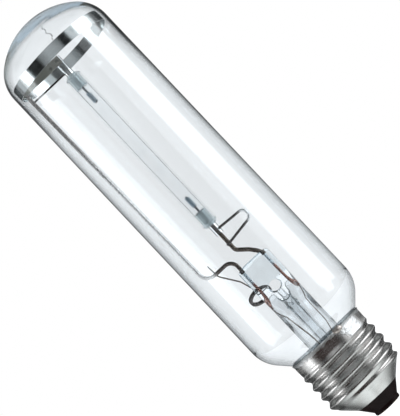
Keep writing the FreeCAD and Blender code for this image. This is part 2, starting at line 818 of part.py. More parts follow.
def make_expansion_loop(doc, size, lower_tube):
    """U-shaped wire that joins the niobium tube to the lead and gives as the arc tube grows hot."""
    front = -(size.lead_diameter + size.loop_wire_diameter) / 2
    weld = size.arc_tube_x + size.niobium_diameter / 2 - size.niobium_wall
    right, left = size.arc_tube_x + size.loop_reach, size.arc_tube_x - size.loop_tail
    upper = size.loop_upper_height - size.loop_upper_slant
    lower = upper - size.loop_mouth
    loop = bent_wire(doc, "expansion_loop", [
        (weld, size.loop_upper_height),
        (right, upper),
        (right, lower),
        (left, lower - size.loop_lower_slant),
    ], [size.loop_corner_radius] * 2, size.loop_wire_diameter, back=front, start_role="YZ_Plane")
    return cut(doc, "expansion_loop", loop, [lower_tube])


def make_upper_lead(doc, size, upper_tube):
    """Straight wire from the frame rod to the upper niobium tube."""
    behind = (size.rod_diameter + size.upper_lead_diameter) / 2
    body = new_body(doc, "upper_lead_wire")
    section = new_sketch(body, "upper_lead_section", "YZ_Plane", size.rod_top_x - size.rod_diameter / 2)
    height = size.arc_tube_top_height + size.upper_lead_rise
    round_outline(section, (behind, height), size.upper_lead_diameter)
    pad = body.newObject("PartDesign::Pad", "upper_lead_pad")
    pad.Profile = section
    weld = size.arc_tube_x - size.niobium_diameter / 2 + size.niobium_wall
    bind(pad, "Length", weld - size.rod_top_x + size.rod_diameter / 2)
    return cut(doc, "upper_lead_wire", body, [upper_tube])


def make_dome_ring(doc, size):
    """Springy band that steadies the frame just under the dome, tipped up a little on the right."""
    outer, half = size.ring_radius, size.ring_width / 2
    inner = outer - size.ring_sheet
    ring = turned(doc, "dome_spring_ring", [(inner, -half), (outer, -half), (outer, half), (inner, half)])
    ring.Placement = FreeCAD.Placement(Vector(0, 0, 0), FreeCAD.Rotation(Vector(0, -1, 0), 1))
    bind(ring, "Placement.Base.z", size.ring_height)
    bind(ring, "Placement.Rotation.Angle", size.ring_tilt)
    return ring


def make_cross_strap(doc, size):
    """Flat strip, seen from above: a tab on the ring, past the rod's front, and stepped to the tube."""
    thick = size.strap_sheet
    rod_face = -size.rod_diameter / 2
    tube_face = -size.niobium_diameter / 2
    bore, reach = size.ring_radius - size.ring_sheet, size.rod_diameter / 2 + size.strap_tab
    left = -(bore - reach * reach / (bore * 2) - size.fit_clearance)
    step, run = size.arc_tube_x - size.strap_step_gap, size.strap_step_run
    right = size.arc_tube_x + size.strap_overhang
    body = new_body(doc, "cross_strap")
    sketch = new_sketch(body, "strap_plan", "XY_Plane", size.strap_bottom_height)
    outline(sketch, [
        (left, rod_face),
        (left, rod_face - size.strap_tab),
        (left + thick, rod_face - size.strap_tab),
        (left + thick, rod_face - thick),
        (step, rod_face - thick),
        (step + run, tube_face - thick),
        (right, tube_face - thick),
        (right, tube_face),
        (step + run, tube_face),
        (step, rod_face),
    ])
    pad = body.newObject("PartDesign::Pad", "strap_pad")
    pad.Profile = sketch
    bind(pad, "Length", size.strap_width)
    return body


def make_arc_tube(doc, size):
    """The translucent ceramic tube that holds the discharge."""
    outer = size.arc_tube_diameter / 2
    bore = outer - size.arc_tube_wall
    bottom, top = size.arc_tube_bottom_height, size.arc_tube_top_height
    wall = [(bore, bottom), (outer, bottom), (outer, top), (bore, top)]
    return turned(doc, "arc_tube", wall, size.arc_tube_x)


def make_arc_tube_end(doc, size, name, end, inward, outer_end):
    """Plug, niobium tube, electrode rod and coil at one end. inward is 1 at the lower end, else -1."""
    bore = size.arc_tube_diameter / 2 - size.arc_tube_wall
    tube, wall = size.niobium_diameter / 2, size.niobium_wall
    inner_face = end + size.plug_length * inward
    turned(doc, name + "_end_plug", [
        (tube, end), (bore, end), (bore, inner_face), (tube, inner_face)], size.arc_tube_x)
    niobium = turned(doc, name + "_niobium_tube", [
        (0, inner_face),
        (tube, inner_face),
        (tube, outer_end),
        (tube - wall, outer_end),
        (tube - wall, inner_face - wall * inward),
        (0, inner_face - wall * inward),
    ], size.arc_tube_x)
    tip = inner_face + size.electrode_length * inward
    low, high = (inner_face, tip) if inward > 0 else (tip, inner_face)
    cylinder(doc, name + "_electrode_rod", size.electrode_diameter / 2, low, high, size.arc_tube_x)
    make_coil(doc, size, name + "_electrode_coil", tip, inward)
    return niobium


def make_coil(doc, size, label, tip, inward):
    """Tungsten coil wound on the electrode rod just behind its tip."""
    thick = size.coil_wire_diameter.value
    winding = (size.electrode_diameter.value + thick) / 2 + size.fit_clearance.value / 2
    helix = Part.makeHelix(size.coil_pitch.value, size.coil_length.value - thick, winding)
    section = Part.Wire(Part.Circle(Vector(winding, 0, 0), Vector(0, 1, 0), thick / 2).toShape())
    coil = Part.Wire(helix).makePipeShell([section], True, True)
    front = tip.value - size.coil_setback.value * inward
    bottom = front - (size.coil_length.value if inward > 0 else 0) + thick / 2
    piece = free_piece(doc, label, coil)
    piece.Placement.Base = Vector(size.arc_tube_x.value, 0, bottom)


def make_amalgam_dose(doc, size):
    """Ring of sodium amalgam that lies on the lower plug, round the electrode."""
    floor = size.arc_tube_bottom_height + size.plug_length
    inner = size.electrode_diameter / 2 + size.dose_thickness
    outer = size.arc_tube_diameter / 2 - size.arc_tube_wall - size.dose_gap
    top = floor + size.dose_thickness
    turned(doc, "amalgam_dose", [
        (inner, floor),
        (outer, floor),
        (outer, floor + size.dose_thickness / 2),
        (outer - size.dose_thickness / 2, top),
        (inner, top),
    ], size.arc_tube_x)


def make_getter_ring(doc, size):
    """Ring with a filled groove on one face, tilted behind the press."""
    radius, section = size.getter_ring_diameter / 2, size.getter_ring_section
    half, groove = section / 2, size.getter_groove
    middle = radius - half
    ring = turned(doc, "getter_ring", [
        (radius - section, -half),
        (radius, -half),
        (radius, half),
        (middle + groove / 2, half),
        (middle + groove / 2, half - groove),
        (middle - groove / 2, half - groove),
        (middle - groove / 2, half),
        (radius - section, half),
    ])
    ring.Placement = FreeCAD.Placement(Vector(0, 0, 0), FreeCAD.Rotation(Vector(-1, 0, 0), 1))
    bind(ring, "Placement.Base.x", size.getter_x)
    bind(ring, "Placement.Base.y", size.press_thickness / 2 + size.getter_press_gap)
    bind(ring, "Placement.Base.z", size.press_top_height - size.getter_drop)
    bind(ring, "Placement.Rotation.Angle", size.getter_tilt)
    return ring


def make_getter_holder(doc, size):
    """Thin wire welded behind the frame rod's hook, bent back and down to the top of the getter ring."""
    thick = size.holder_diameter.value
    behind = (size.rod_diameter.value + thick) / 2
    tilt = math.radians(size.getter_tilt.value)
    reach = (size.getter_ring_diameter.value - size.getter_ring_section.value) / 2
    lift = size.getter_ring_section.value / 2 + thick / 2
    ring_y = size.press_thickness.value / 2 + size.getter_press_gap.value
    end_y = ring_y - reach * math.cos(tilt) + lift * math.sin(tilt)
    press_top, hook = size.press_top_height.value, size.rod_hook_height.value
    end_z = press_top - size.getter_drop.value + reach * math.sin(tilt) + lift * math.cos(tilt)
    rod_x, ring_x = size.rod_bottom_x.value, size.getter_x.value
    wire = rounded_wire([
        Vector(rod_x + size.holder_top_run.value, behind, hook + size.holder_top_rise.value),
        Vector(rod_x + size.holder_weld_run.value, behind, hook - size.holder_bend_drop.value),
        Vector(ring_x - size.holder_knee_run.value, end_y, press_top - size.holder_knee_drop.value),
        Vector(ring_x, end_y, end_z),
    ], size.holder_bend_radius.value)
    return free_piece(doc, "getter_holder_wire", swept_round(wire, thick / 2))


def build(doc):
    """Makes every piece of the lamp, each under its own label."""
    size = make_sheet(doc)
    seat_pieces(size)
    bulb = make_outer_bulb(doc, size)
    make_screw_shell(doc, size)
    make_cap_insulator(doc, size)
    make_centre_contact(doc, size)
    make_exhaust_tube(doc, size)
    rod = make_frame_rod(doc, size)
    lead = make_lower_lead(doc, size)
    centre_lead = make_centre_lead(doc, size)
    side_lead = make_side_lead(doc, size)
    seal = size.seal_wire_diameter / 2
    span = (size.seal_wire_bottom_height, size.seal_wire_top_height)
    seals = [
        cylinder(doc, "centre_seal_wire", seal, *span, size.rod_press_x),
        cylinder(doc, "side_seal_wire", seal, *span, size.lead_press_x),
    ]
    cut(doc, "stem_glass", make_stem_blank(doc, size), [rod, lead, centre_lead, side_lead] + seals)
    make_capping_cement(doc, size, side_lead)
    make_side_solder(doc, size, [bulb, side_lead])
    solder = cylinder(doc, "centre_solder", size.eyelet_bore_radius, sized(0), size.eyelet_height, 0)
    cut(doc, "centre_solder", solder, [centre_lead])
    make_arc_tube(doc, size)
    lower_tube = make_arc_tube_end(
        doc, size, "lower", size.arc_tube_bottom_height, 1, size.niobium_foot_height)
    upper_tube = make_arc_tube_end(
        doc, size, "upper", size.arc_tube_top_height, -1, size.strap_top_height - size.niobium_head_inset)
    make_amalgam_dose(doc, size)
    make_expansion_loop(doc, size, lower_tube)
    make_upper_lead(doc, size, upper_tube)
    make_dome_ring(doc, size)
    make_cross_strap(doc, size)
    make_getter_ring(doc, size)
    make_getter_holder(doc, size)


NODES = [
    "outer_bulb", "stem_glass", "exhaust_tube",
    "screw_shell", "cap_insulator", "centre_contact", "centre_solder", "side_solder", "capping_cement",
    "centre_lead_wire", "side_lead_wire", "centre_seal_wire", "side_seal_wire",
    "frame_rod", "lower_lead_wire", "expansion_loop", "upper_lead_wire", "dome_spring_ring", "cross_strap",
    "arc_tube", "lower_end_plug", "upper_end_plug", "lower_niobium_tube", "upper_niobium_tube",
    "lower_electrode_rod", "upper_electrode_rod", "lower_electrode_coil", "upper_electrode_coil",
    "amalgam_dose", "getter_ring", "getter_holder_wire",
]


def check_and_export(doc):
    """Stops at any failed object or shape, then writes one file for each piece."""
    doc.recompute()
    failed = [thing.Label for thing in doc.Objects if {"Invalid", "Error"} & set(thing.State)]
    if failed:
        raise RuntimeError("these objects failed: " + ", ".join(failed))
    pieces = {label: doc.getObjectsByLabel(label)[0] for label in NODES}
    for label, piece in pieces.items():
        if piece.Shape.isNull() or not piece.Shape.isValid() or len(piece.Shape.Solids) != 1:
            raise RuntimeError(f"{label} is not one valid solid")
    os.makedirs("parts", exist_ok=True)
    for label, piece in pieces.items():
        piece.Shape.exportStep(f"parts/{label}.step")
        box = piece.Shape.BoundBox
        print(f"{label}: {piece.Shape.Volume:.2f} mm3, z {box.ZMin:.2f} to {box.ZMax:.2f}")


lamp = FreeCAD.newDocument("lamp")
build(lamp)
check_and_export(lamp)
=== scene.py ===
# %% [markdown]
# A tubular discharge lamp, dressed for the camera. The real lamp is a clear blown bulb round a wire frame
# that carries a thin ceramic arc tube, on a plated screw cap with a black glass insulator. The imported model
# gives every piece its place and size, so this file only has to answer two questions for each of them: what
# does its surface look like, and is the plain solid fine enough to show it?

# %% Load the frame and note its box
import math

import bmesh
import bpy
import numpy as np

from mathutils import Matrix, Vector


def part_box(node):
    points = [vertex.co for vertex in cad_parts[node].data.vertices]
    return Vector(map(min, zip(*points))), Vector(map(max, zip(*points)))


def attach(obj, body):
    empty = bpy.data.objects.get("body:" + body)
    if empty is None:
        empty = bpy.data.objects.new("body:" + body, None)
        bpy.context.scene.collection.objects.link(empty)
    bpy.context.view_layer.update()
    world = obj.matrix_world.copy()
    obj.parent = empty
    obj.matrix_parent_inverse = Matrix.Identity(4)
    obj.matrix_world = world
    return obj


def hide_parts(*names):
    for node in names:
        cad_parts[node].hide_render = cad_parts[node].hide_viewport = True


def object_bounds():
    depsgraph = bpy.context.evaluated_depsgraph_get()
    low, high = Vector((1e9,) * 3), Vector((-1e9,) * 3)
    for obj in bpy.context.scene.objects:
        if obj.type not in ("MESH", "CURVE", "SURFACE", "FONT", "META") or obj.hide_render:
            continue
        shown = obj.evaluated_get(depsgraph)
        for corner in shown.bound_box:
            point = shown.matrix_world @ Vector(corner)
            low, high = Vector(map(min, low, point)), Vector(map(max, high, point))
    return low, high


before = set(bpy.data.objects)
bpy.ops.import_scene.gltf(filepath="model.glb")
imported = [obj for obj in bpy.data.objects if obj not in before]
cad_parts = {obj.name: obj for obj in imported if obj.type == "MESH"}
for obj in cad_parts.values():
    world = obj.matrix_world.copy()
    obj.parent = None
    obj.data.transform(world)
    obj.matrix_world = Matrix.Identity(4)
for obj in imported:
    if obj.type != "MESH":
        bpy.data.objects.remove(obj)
cad_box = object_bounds()
MM = 0.001
print("frame holds", len(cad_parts), "nodes, box", [round(side, 4) for side in cad_box[1] - cad_box[0]])

# %% [markdown]
# Clear glass inside clear glass needs many steps of light: a ray through the bulb, the stem's tube and the
# exhaust tube crosses twelve surfaces and still has to reach the backdrop. With too few steps such rays go
# black, so the limits are raised before anything else.

# %% Let light through many layers of glass
light_steps = bpy.context.scene.cycles
light_steps.max_bounces = 32
light_steps.transmission_bounces = 32
light_steps.transparent_max_bounces = 32
light_steps.glossy_bounces = 24
print("light may pass", light_steps.transmission_bounces, "glass surfaces")

# %% [markdown]
# The camera stands in front of the lamp at half a metre, a little under its middle, and is rolled so that
# the lamp lies across the picture with its dome at the top left. The roll is written as the direction that
# the lamp's axis takes in the picture, because that is what can be measured.

# %% Camera
CAMERA_PLACE = Vector((0, -520, 50)) * MM
CAMERA_AIM = Vector((-0.55, 0, 80.5)) * MM
LENS = 152
AXIS_IN_PICTURE = Vector((-0.6857, 0.7279)).normalized()


def place_camera():
    """Points the camera, then rolls it until the lamp's axis has its direction in the picture."""
    data = bpy.data.cameras.new("camera")
    data.sensor_width, data.lens = 36, LENS
    data.clip_start, data.clip_end = 0.01, 20
    camera = bpy.data.objects.new("camera", data)
    bpy.context.scene.collection.objects.link(camera)
    forward = (CAMERA_AIM - CAMERA_PLACE).normalized()
    level = forward.cross(Vector((0, 0, 1))).normalized()
    upright = level.cross(forward)
    right = level * AXIS_IN_PICTURE.y + upright * AXIS_IN_PICTURE.x
    up = upright * AXIS_IN_PICTURE.y - level * AXIS_IN_PICTURE.x
    turn = Matrix((right, up, -forward)).transposed()
    camera.matrix_world = Matrix.Translation(CAMERA_PLACE) @ turn.to_4x4()
    bpy.context.scene.camera = camera
    return camera


camera = place_camera()
bpy.context.scene.view_settings.view_transform = "Standard"
print("camera at", [round(c, 3) for c in camera.location], "with a lens of", LENS, "mm")

# %% [markdown]
# Every material below is a small tree of nodes. Writing `tree.nodes.new` and `tree.links.new` for each
# would hide the idea in noise, so helpers do it. One makes a node with its values, one a chain of noise that
# turns an object's own coordinates into a number between two limits. The others start a tree, do a sum,
# carry a value from one range to another, blend two colours and give an object's own axes.

# %% Helpers for node trees


def new_tree(owner):
    """An empty node tree on a material or the world."""
    owner.use_nodes = True
    owner.node_tree.nodes.clear()
    return owner.node_tree


def add(tree, kind, values=None, **settings):
    """One node of the kind, with its settings, and its inputs set to numbers or linked to sockets."""
    node = tree.nodes.new("ShaderNode" + kind)
    for name, value in settings.items():
        setattr(node, name, value)
    for name, value in (values or {}).items():
        if isinstance(value, bpy.types.NodeSocket):
            tree.links.new(value, node.inputs[name])
        else:
            node.inputs[name].default_value = value
    return node


def calculate(tree, operation, first, second=0.0):
    """The result of one sum on two numbers or sockets."""
    return add(tree, "Math", {0: first, 1: second}, operation=operation).outputs[0]


def spread(tree, value, start, end, low=0.0, high=1.0, smooth=False):
    """A value carried from the range start to end over to the range low to high, and held at both ends."""
    values = {"Value": value, "From Min": start, "From Max": end, "To Min": low, "To Max": high}
    settings = {"interpolation_type": "SMOOTHSTEP"} if smooth else {}
    return add(tree, "MapRange", values, **settings).outputs[0]


def spots(tree, scale, low, high, detail=3.0, stretch=(1, 1, 1)):
    """Noise on the object's own coordinates, scale in spots a metre, spread from low to high."""
    place = add(tree, "TexCoord").outputs["Object"]
    place = add(tree, "Mapping", {"Vector": place, "Scale": stretch}).outputs[0]
    noise = add(tree, "TexNoise", {"Vector": place, "Scale": scale, "Detail": detail}).outputs[0]
    return spread(tree, noise, 0.3, 0.7, low, high)


def blend_colours(tree, share, first, second):
    """A colour between two colours or sockets, by a share from 0 to 1."""
    node = tree.nodes.new("ShaderNodeMix")
    node.data_type = "RGBA"
    for socket, value in zip((node.inputs[0], node.inputs[6], node.inputs[7]), (share, first, second)):
        if isinstance(value, bpy.types.NodeSocket):
            tree.links.new(value, socket)
        else:
            socket.default_value = (*value, 1) if isinstance(value, tuple) else value
    return node.outputs[2]


def object_axes(tree):
    """The object's own x, y and z in metres, as three sockets."""
    parts = add(tree, "SeparateXYZ", {0: add(tree, "TexCoord").outputs["Object"]})
    return parts.outputs["X"], parts.outputs["Y"], parts.outputs["Z"]


print("node helpers ready")

# %% [markdown]
# The studio is in the world itself. Whoever looks straight at it, also through glass, sees plain white. A
# matt surface gets an even grey-white level. Only a mirror sees the studio proper: a tall softbox with a
# brighter middle on either side, which paint the long white streaks on the bulb and on the cap, black cloth
# beside them with a paler strip behind, a grey front, light below and high up at the back, and a low dark
# patch in front that gives the cap's collar its dark middle. Light Path tells the three apart by how many
# mirror or matt surfaces the ray has met.

# %% World
WHITE_LEVEL = 1.0
MATT_LEVEL = 0.72
BRIGHTEST = 3.6
# Brightness round the lamp, by the angle in degrees from the camera's side, counted towards +X
ROOM = [
    (-180, 0.10), (-158, 0.08), (-146, 0.04), (-118, 0.02), (-112, 0.8), (-72, 0.8),
    (-68, 0.7), (-64, 0.04), (-38, 0.012), (-31, 0.30), (-14, 0.60), (2, 0.56), (17, 0.34), (22, 0.03),
    (37, 0.03), (41, 0.9), (57, 0.9), (112, 0.8), (118, 0.06), (146, 0.04), (158, 0.08), (180, 0.10),
]
# The bright middle of each softbox and the paler cloth behind, by angle and by the sine over the horizon
CORE_LEFT = (-94, -90, -72, -68)
CORE_RIGHT = (57, 63, 98, 103)
CORE_HEIGHTS = (-0.045, -0.02, 0.30, 0.42)
CLOTH_SIDES = (112, 120, 154, 164)
CLOTH_HEIGHTS = (-0.035, -0.015, 0.13, 0.165)
CLOTH = 0.5
ROOM_TINT = (0.95, 0.985, 1.0)
# Brightness above and below the softboxes, by the sine of the angle over the horizon
HEIGHTS = [
    (-1, 1.35), (-0.93, 1.15), (-0.86, 0.95), (-0.78, 0.55), (-0.6, 0.15), (-0.3, 0.08),
    (0.3, 0.09), (0.7, 0.15), (1, 0.42),
]
UNDER_BACK = 0.62
UNDER_SIDES = (156, 168)
UNDER_HEIGHTS = (-0.42, -0.28)
OVER_BACK = 0.36
OVER_SIDES = (126, 142)
OVER_HEIGHTS = (0.28, 0.42)
OVER_TINT = (0.93, 1.0, 0.99)
HEIGHT_TINT = (0.91, 0.985, 0.985)
BOX_TOP = 0.75
BOX_FADE = 0.30
PATCH_SIDES = (-64, -56, 20, 30)
PATCH_HEIGHTS = (-0.86, -0.76, 0.08, 0.15)
PATCH = (0.040, 0.028, 0.025)


def ramp(tree, share, stops, tint, top):
    """Colours along a share, from pairs of place and brightness, each brightness as a part of the top."""
    node = add(tree, "ValToRGB", {"Fac": share})
    elements = node.color_ramp.elements
    while len(elements) < len(stops):
        elements.new(1.0)
    for element, (place, level) in zip(elements, stops):
        element.position = place
        element.color = (*(level / top * part for part in tint), 1)
    return node.outputs[0]


def between(tree, value, limits):
    """1 between the two middle limits, and 0 outside the outer ones."""
    rise = spread(tree, value, limits[0], limits[1], smooth=True)
    fall = spread(tree, value, limits[2], limits[3], 1, 0, smooth=True)
    return calculate(tree, "MULTIPLY", rise, fall)


def radians(angles):
    """The angles in radians."""
    return [math.radians(degrees) for degrees in angles]


def make_room(tree):
    """What a mirror sees, worked out from the direction it looks in."""
    part = add(tree, "SeparateXYZ", {0: add(tree, "TexCoord").outputs["Generated"]})
    angle = calculate(tree, "ARCTAN2", part.outputs["X"], calculate(tree, "MULTIPLY", part.outputs["Y"], -1))
    height = part.outputs["Z"]
    stops = [((degrees + 180) / 360, level) for degrees, level in ROOM]
    around = ramp(tree, spread(tree, angle, -math.pi, math.pi), stops, ROOM_TINT, BRIGHTEST)
    stops = [((sine + 1) / 2, level) for sine, level in HEIGHTS]
    beyond = ramp(tree, spread(tree, height, -1, 1), stops, HEIGHT_TINT, BRIGHTEST)
    steep = spread(tree, calculate(tree, "ABSOLUTE", height), BOX_TOP - BOX_FADE, BOX_TOP, smooth=True)
    seen = blend_colours(tree, steep, around, beyond)
    cores = [between(tree, angle, radians(sides)) for sides in (CORE_LEFT, CORE_RIGHT)]
    core = calculate(tree, "MULTIPLY", calculate(tree, "ADD", *cores), between(tree, height, CORE_HEIGHTS))
    seen = blend_colours(tree, core, seen, ROOM_TINT)
    turn = calculate(tree, "ABSOLUTE", angle)
    cloth = calculate(
        tree, "MULTIPLY", between(tree, turn, radians(CLOTH_SIDES)), between(tree, height, CLOTH_HEIGHTS))
    seen = blend_colours(tree, cloth, seen, tuple(part * CLOTH / BRIGHTEST for part in ROOM_TINT))
    back = spread(tree, turn, *radians(UNDER_SIDES), smooth=True)
    under = calculate(tree, "MULTIPLY", back, spread(tree, height, *UNDER_HEIGHTS, 1, 0, smooth=True))
    seen = blend_colours(tree, under, seen, tuple(part * UNDER_BACK / BRIGHTEST for part in HEIGHT_TINT))
    back = spread(tree, turn, *radians(OVER_SIDES), smooth=True)
    over = calculate(tree, "MULTIPLY", back, spread(tree, height, *OVER_HEIGHTS, smooth=True))
    seen = blend_colours(tree, over, seen, tuple(part * OVER_BACK / BRIGHTEST for part in OVER_TINT))
    patch = calculate(
        tree, "MULTIPLY", between(tree, angle, radians(PATCH_SIDES)), between(tree, height, PATCH_HEIGHTS))
    seen = blend_colours(tree, patch, seen, tuple(part / BRIGHTEST for part in PATCH))
    return add(tree, "Background", {"Color": seen, "Strength": BRIGHTEST})


def make_world():
    """White to look at, even for matt surfaces, and the room for mirrors."""
    world = bpy.data.worlds.new("studio")
    bpy.context.scene.world = world
    world.cycles.sampling_method = "NONE"
    tree = new_tree(world)
    room = make_room(tree)
    matt = add(tree, "Background", {"Color": (1, 1, 1, 1), "Strength": MATT_LEVEL})
    white = add(tree, "Background", {"Color": (1, 1, 1, 1), "Strength": WHITE_LEVEL})
    path = add(tree, "LightPath")
    met_matt = calculate(tree, "GREATER_THAN", path.outputs["Diffuse Depth"], 0.5)
    met_mirror = calculate(tree, "GREATER_THAN", path.outputs["Glossy Depth"], 0.5)
    seen = add(tree, "MixShader", {0: met_mirror, 1: white.outputs[0], 2: room.outputs[0]})
    light = add(tree, "MixShader", {0: met_matt, 1: seen.outputs[0], 2: matt.outputs[0]})
    add(tree, "OutputWorld", {"Surface": light.outputs[0]})


make_world()
print("world has", len(ROOM), "steps of brightness round the lamp")

# %% [markdown]
# Two soft lamps give the matt surfaces a side and the floor its shadow. They are hidden from mirrors and
# from looks through glass, because the world already holds what is seen that way.

# %% Soft lamps


def soft_lamp(name, place, size, power):
    """A square area lamp that faces the middle of the object and lights only matt surfaces."""
    data = bpy.data.lights.new(name, "AREA")
    data.size, data.energy = size, power
    lamp = bpy.data.objects.new(name, data)
    bpy.context.scene.collection.objects.link(lamp)
    lamp.location = place
    middle = (cad_box[0] + cad_box[1]) / 2
    lamp.rotation_euler = (middle - lamp.location).to_track_quat("-Z", "Y").to_euler()
    lamp.visible_camera = lamp.visible_glossy = lamp.visible_transmission = False


soft_lamp("left_lamp", Vector((-0.9, -0.7, 0.8)), 0.8, 6)
soft_lamp("right_lamp", Vector((1.0, -0.5, 0.7)), 0.8, 9)
print("two soft lamps")

# %% [markdown]
# The floor is a plain pale sheet below the lamp, clear of it. Where it is looked at directly it also glows
# a little, so that it joins the white backdrop without a line, and it still darkens under the lamp's
# shadow. Mirrors don't see it: the world holds what lies below for them.

# %% Floor
FLOOR_HEIGHT = -0.12
FLOOR_REACH = 3.0
FLOOR_COLOUR = (0.82, 0.83, 0.84)
FLOOR_GLOW = 0.55


def make_floor():
    """A square sheet under the object, matt, with a glow for direct looks only."""
    x, y = np.meshgrid([-FLOOR_REACH, FLOOR_REACH], [-FLOOR_REACH, FLOOR_REACH])
    points = np.stack([x.ravel(), y.ravel(), np.full(4, FLOOR_HEIGHT)], 1)
    mesh = bpy.data.meshes.new("floor")
    mesh.from_pydata(points.tolist(), [], [(0, 1, 3, 2)])
    floor = bpy.data.objects.new("floor", mesh)
    bpy.context.scene.collection.objects.link(floor)
    material = bpy.data.materials.new("floor_paper")
    tree = new_tree(material)
    grain = spots(tree, 40, 0.0, 1.0)
    colour = blend_colours(tree, grain, FLOOR_COLOUR, tuple(c * 0.985 for c in FLOOR_COLOUR))
    matt = add(tree, "BsdfDiffuse", {"Color": colour})
    path = add(tree, "LightPath")
    met = calculate(tree, "ADD", path.outputs["Diffuse Depth"], path.outputs["Glossy Depth"])
    direct = calculate(tree, "LESS_THAN", met, 0.5)
    glow = add(tree, "Emission", {"Strength": calculate(tree, "MULTIPLY", direct, FLOOR_GLOW)})
    both = add(tree, "AddShader", {0: matt.outputs[0], 1: glow.outputs[0]})
    add(tree, "OutputMaterial", {"Surface": both.outputs[0]})
    mesh.materials.append(material)
    floor.visible_glossy = False


make_floor()
print("floor at", FLOOR_HEIGHT, "m")

# %% [markdown]
# Glass comes in two kinds here. The bulb is the clearer one and the stem's glass is a little greyer. A
# Glass shader alone would throw black shadows on what is inside, because light finds no straight way
# through it. So for shadow rays, and only for those, the material is plainly transparent. Along the press's
# edges and round its blow hole the stem's glass is darker by place: a painted shade that stands in for the
# dark lines that bent light draws there.

# %% Glass
BULB_GLASS = (0.970, 0.980, 0.987)
STEM_GLASS = (0.960, 0.970, 0.977)
SHADOW_GLASS = (0.96, 0.97, 0.98)
GLASS_IOR = 1.5
WRINKLE_PLACE = 2.3 * MM
WRINKLE_HEIGHTS = [h * MM for h in (143.6, 144.6, 148.4, 149.4)]
WRINKLE_WIDTH = 0.16 * MM
WRINKLE_SWAY = 0.9 * MM
PRESS_TINT = (0.935, 0.960, 0.972)
# Painted shade along the press's edges and round the blow hole, for the dark lines that bent light draws
PRESS_PAINTED_SHADE = (0.50, 0.56, 0.60)
PRESS_TINT_HEIGHTS = (47.5 * MM, 50.5 * MM)
PAINTED_EDGE_HEIGHTS = (58.35 * MM, 58.75 * MM)
PAINTED_EDGE_SIDE = (-5.75 * MM, -5.35 * MM)
PAINTED_HOLE_RING = (48.5 * MM, 2.1 * MM, 1.5)
PAINTED_EDGE_WANDER = 0.08 * MM
PAINTED_RING_WANDER = 0.12 * MM
PAINTED_RING_FADE = (0.12 * MM, 0.34 * MM)


def make_glass(name, colour, bump=None, tone=None):
    """Clear glass, transparent to shadow rays. tone may work a colour out from the place."""
    material = bpy.data.materials.new(name)
    tree = new_tree(material)
    tint = tone(tree, colour) if tone else (*colour, 1)
    clear = add(tree, "BsdfGlass", {"Color": tint, "Roughness": 0.0, "IOR": GLASS_IOR})
    if bump:
        tree.links.new(bump(tree), clear.inputs["Normal"])
    shade = add(tree, "BsdfTransparent", {"Color": (*SHADOW_GLASS, 1)})
    path = add(tree, "LightPath")
    both = add(tree, "MixShader", {
        0: path.outputs["Is Shadow Ray"], 1: clear.outputs[0], 2: shade.outputs[0]})
    add(tree, "OutputMaterial", {"Surface": both.outputs[0]})
    return material


def bulb_marks(tree):
    """Faint waves along the tube, and a hairline mark below the crown."""
    height = spots(tree, 60, 0, 1, detail=2, stretch=(1, 1, 0.08))
    waves = add(tree, "Bump", {"Height": height, "Strength": 0.02, "Distance": 0.0004}).outputs[0]
    x, y, z = object_axes(tree)
    sway = spots(tree, 520, -WRINKLE_SWAY, WRINKLE_SWAY, detail=2, stretch=(0.05, 0.05, 1))
    aside = calculate(tree, "SUBTRACT", calculate(tree, "ADD", x, sway), WRINKLE_PLACE)
    away = calculate(tree, "ABSOLUTE", aside)
    fold = spread(tree, away, 0, WRINKLE_WIDTH, 1, 0, smooth=True)
    fold = calculate(tree, "MULTIPLY", fold, between(tree, z, WRINKLE_HEIGHTS))
    fold = calculate(tree, "MULTIPLY", fold, calculate(tree, "LESS_THAN", y, 0.0))
    return add(tree, "Bump", {
        "Height": fold, "Strength": 1.0, "Distance": 0.0003, "Normal": waves}).outputs[0]


def press_tint_and_painted_shade(tree, colour):
    """Greyer glass where it was pinched, and a painted shade along the press's edges and round the blow hole.
    """
    x, _, z = object_axes(tree)
    wander = spots(tree, 700, -1, 1, detail=2)
    pressed = spread(tree, z, *PRESS_TINT_HEIGHTS, smooth=True)
    tint = blend_colours(tree, pressed, colour, PRESS_TINT)
    rise = calculate(tree, "ADD", z, calculate(tree, "MULTIPLY", wander, PAINTED_EDGE_WANDER))
    dark = spread(tree, rise, *PAINTED_EDGE_HEIGHTS, smooth=True)
    side = calculate(tree, "MULTIPLY", pressed, spread(tree, x, *PAINTED_EDGE_SIDE, 1, 0, smooth=True))
    dark = calculate(tree, "MAXIMUM", dark, side)
    drop = calculate(tree, "MULTIPLY", calculate(tree, "SUBTRACT", z, PAINTED_HOLE_RING[0]), PAINTED_HOLE_RING[2])
    square = calculate(tree, "ADD", calculate(tree, "POWER", x, 2), calculate(tree, "POWER", drop, 2))
    reach = calculate(tree, "SQRT", square)
    away = calculate(tree, "ABSOLUTE", calculate(tree, "SUBTRACT", reach, PAINTED_HOLE_RING[1]))
    away = calculate(tree, "ADD", away, calculate(tree, "MULTIPLY", wander, PAINTED_RING_WANDER))
    ring = spread(tree, away, *PAINTED_RING_FADE, 1, 0, smooth=True)
    return blend_colours(tree, calculate(tree, "MAXIMUM", dark, ring), tint, PRESS_PAINTED_SHADE)


bulb_glass = make_glass("clear_bulb_glass", BULB_GLASS, bulb_marks)
stem_glass = make_glass("stem_glass", STEM_GLASS, tone=press_tint_and_painted_shade)
print("glass of two kinds, index", GLASS_IOR)

# %% [markdown]
# Metals are one shader with different finishes: a tint that wanders between two shades, a roughness that
# wanders too, and a fine bump for drawing lines or pickling. What changes from wire to wire is only the
# numbers.

# %% Metals


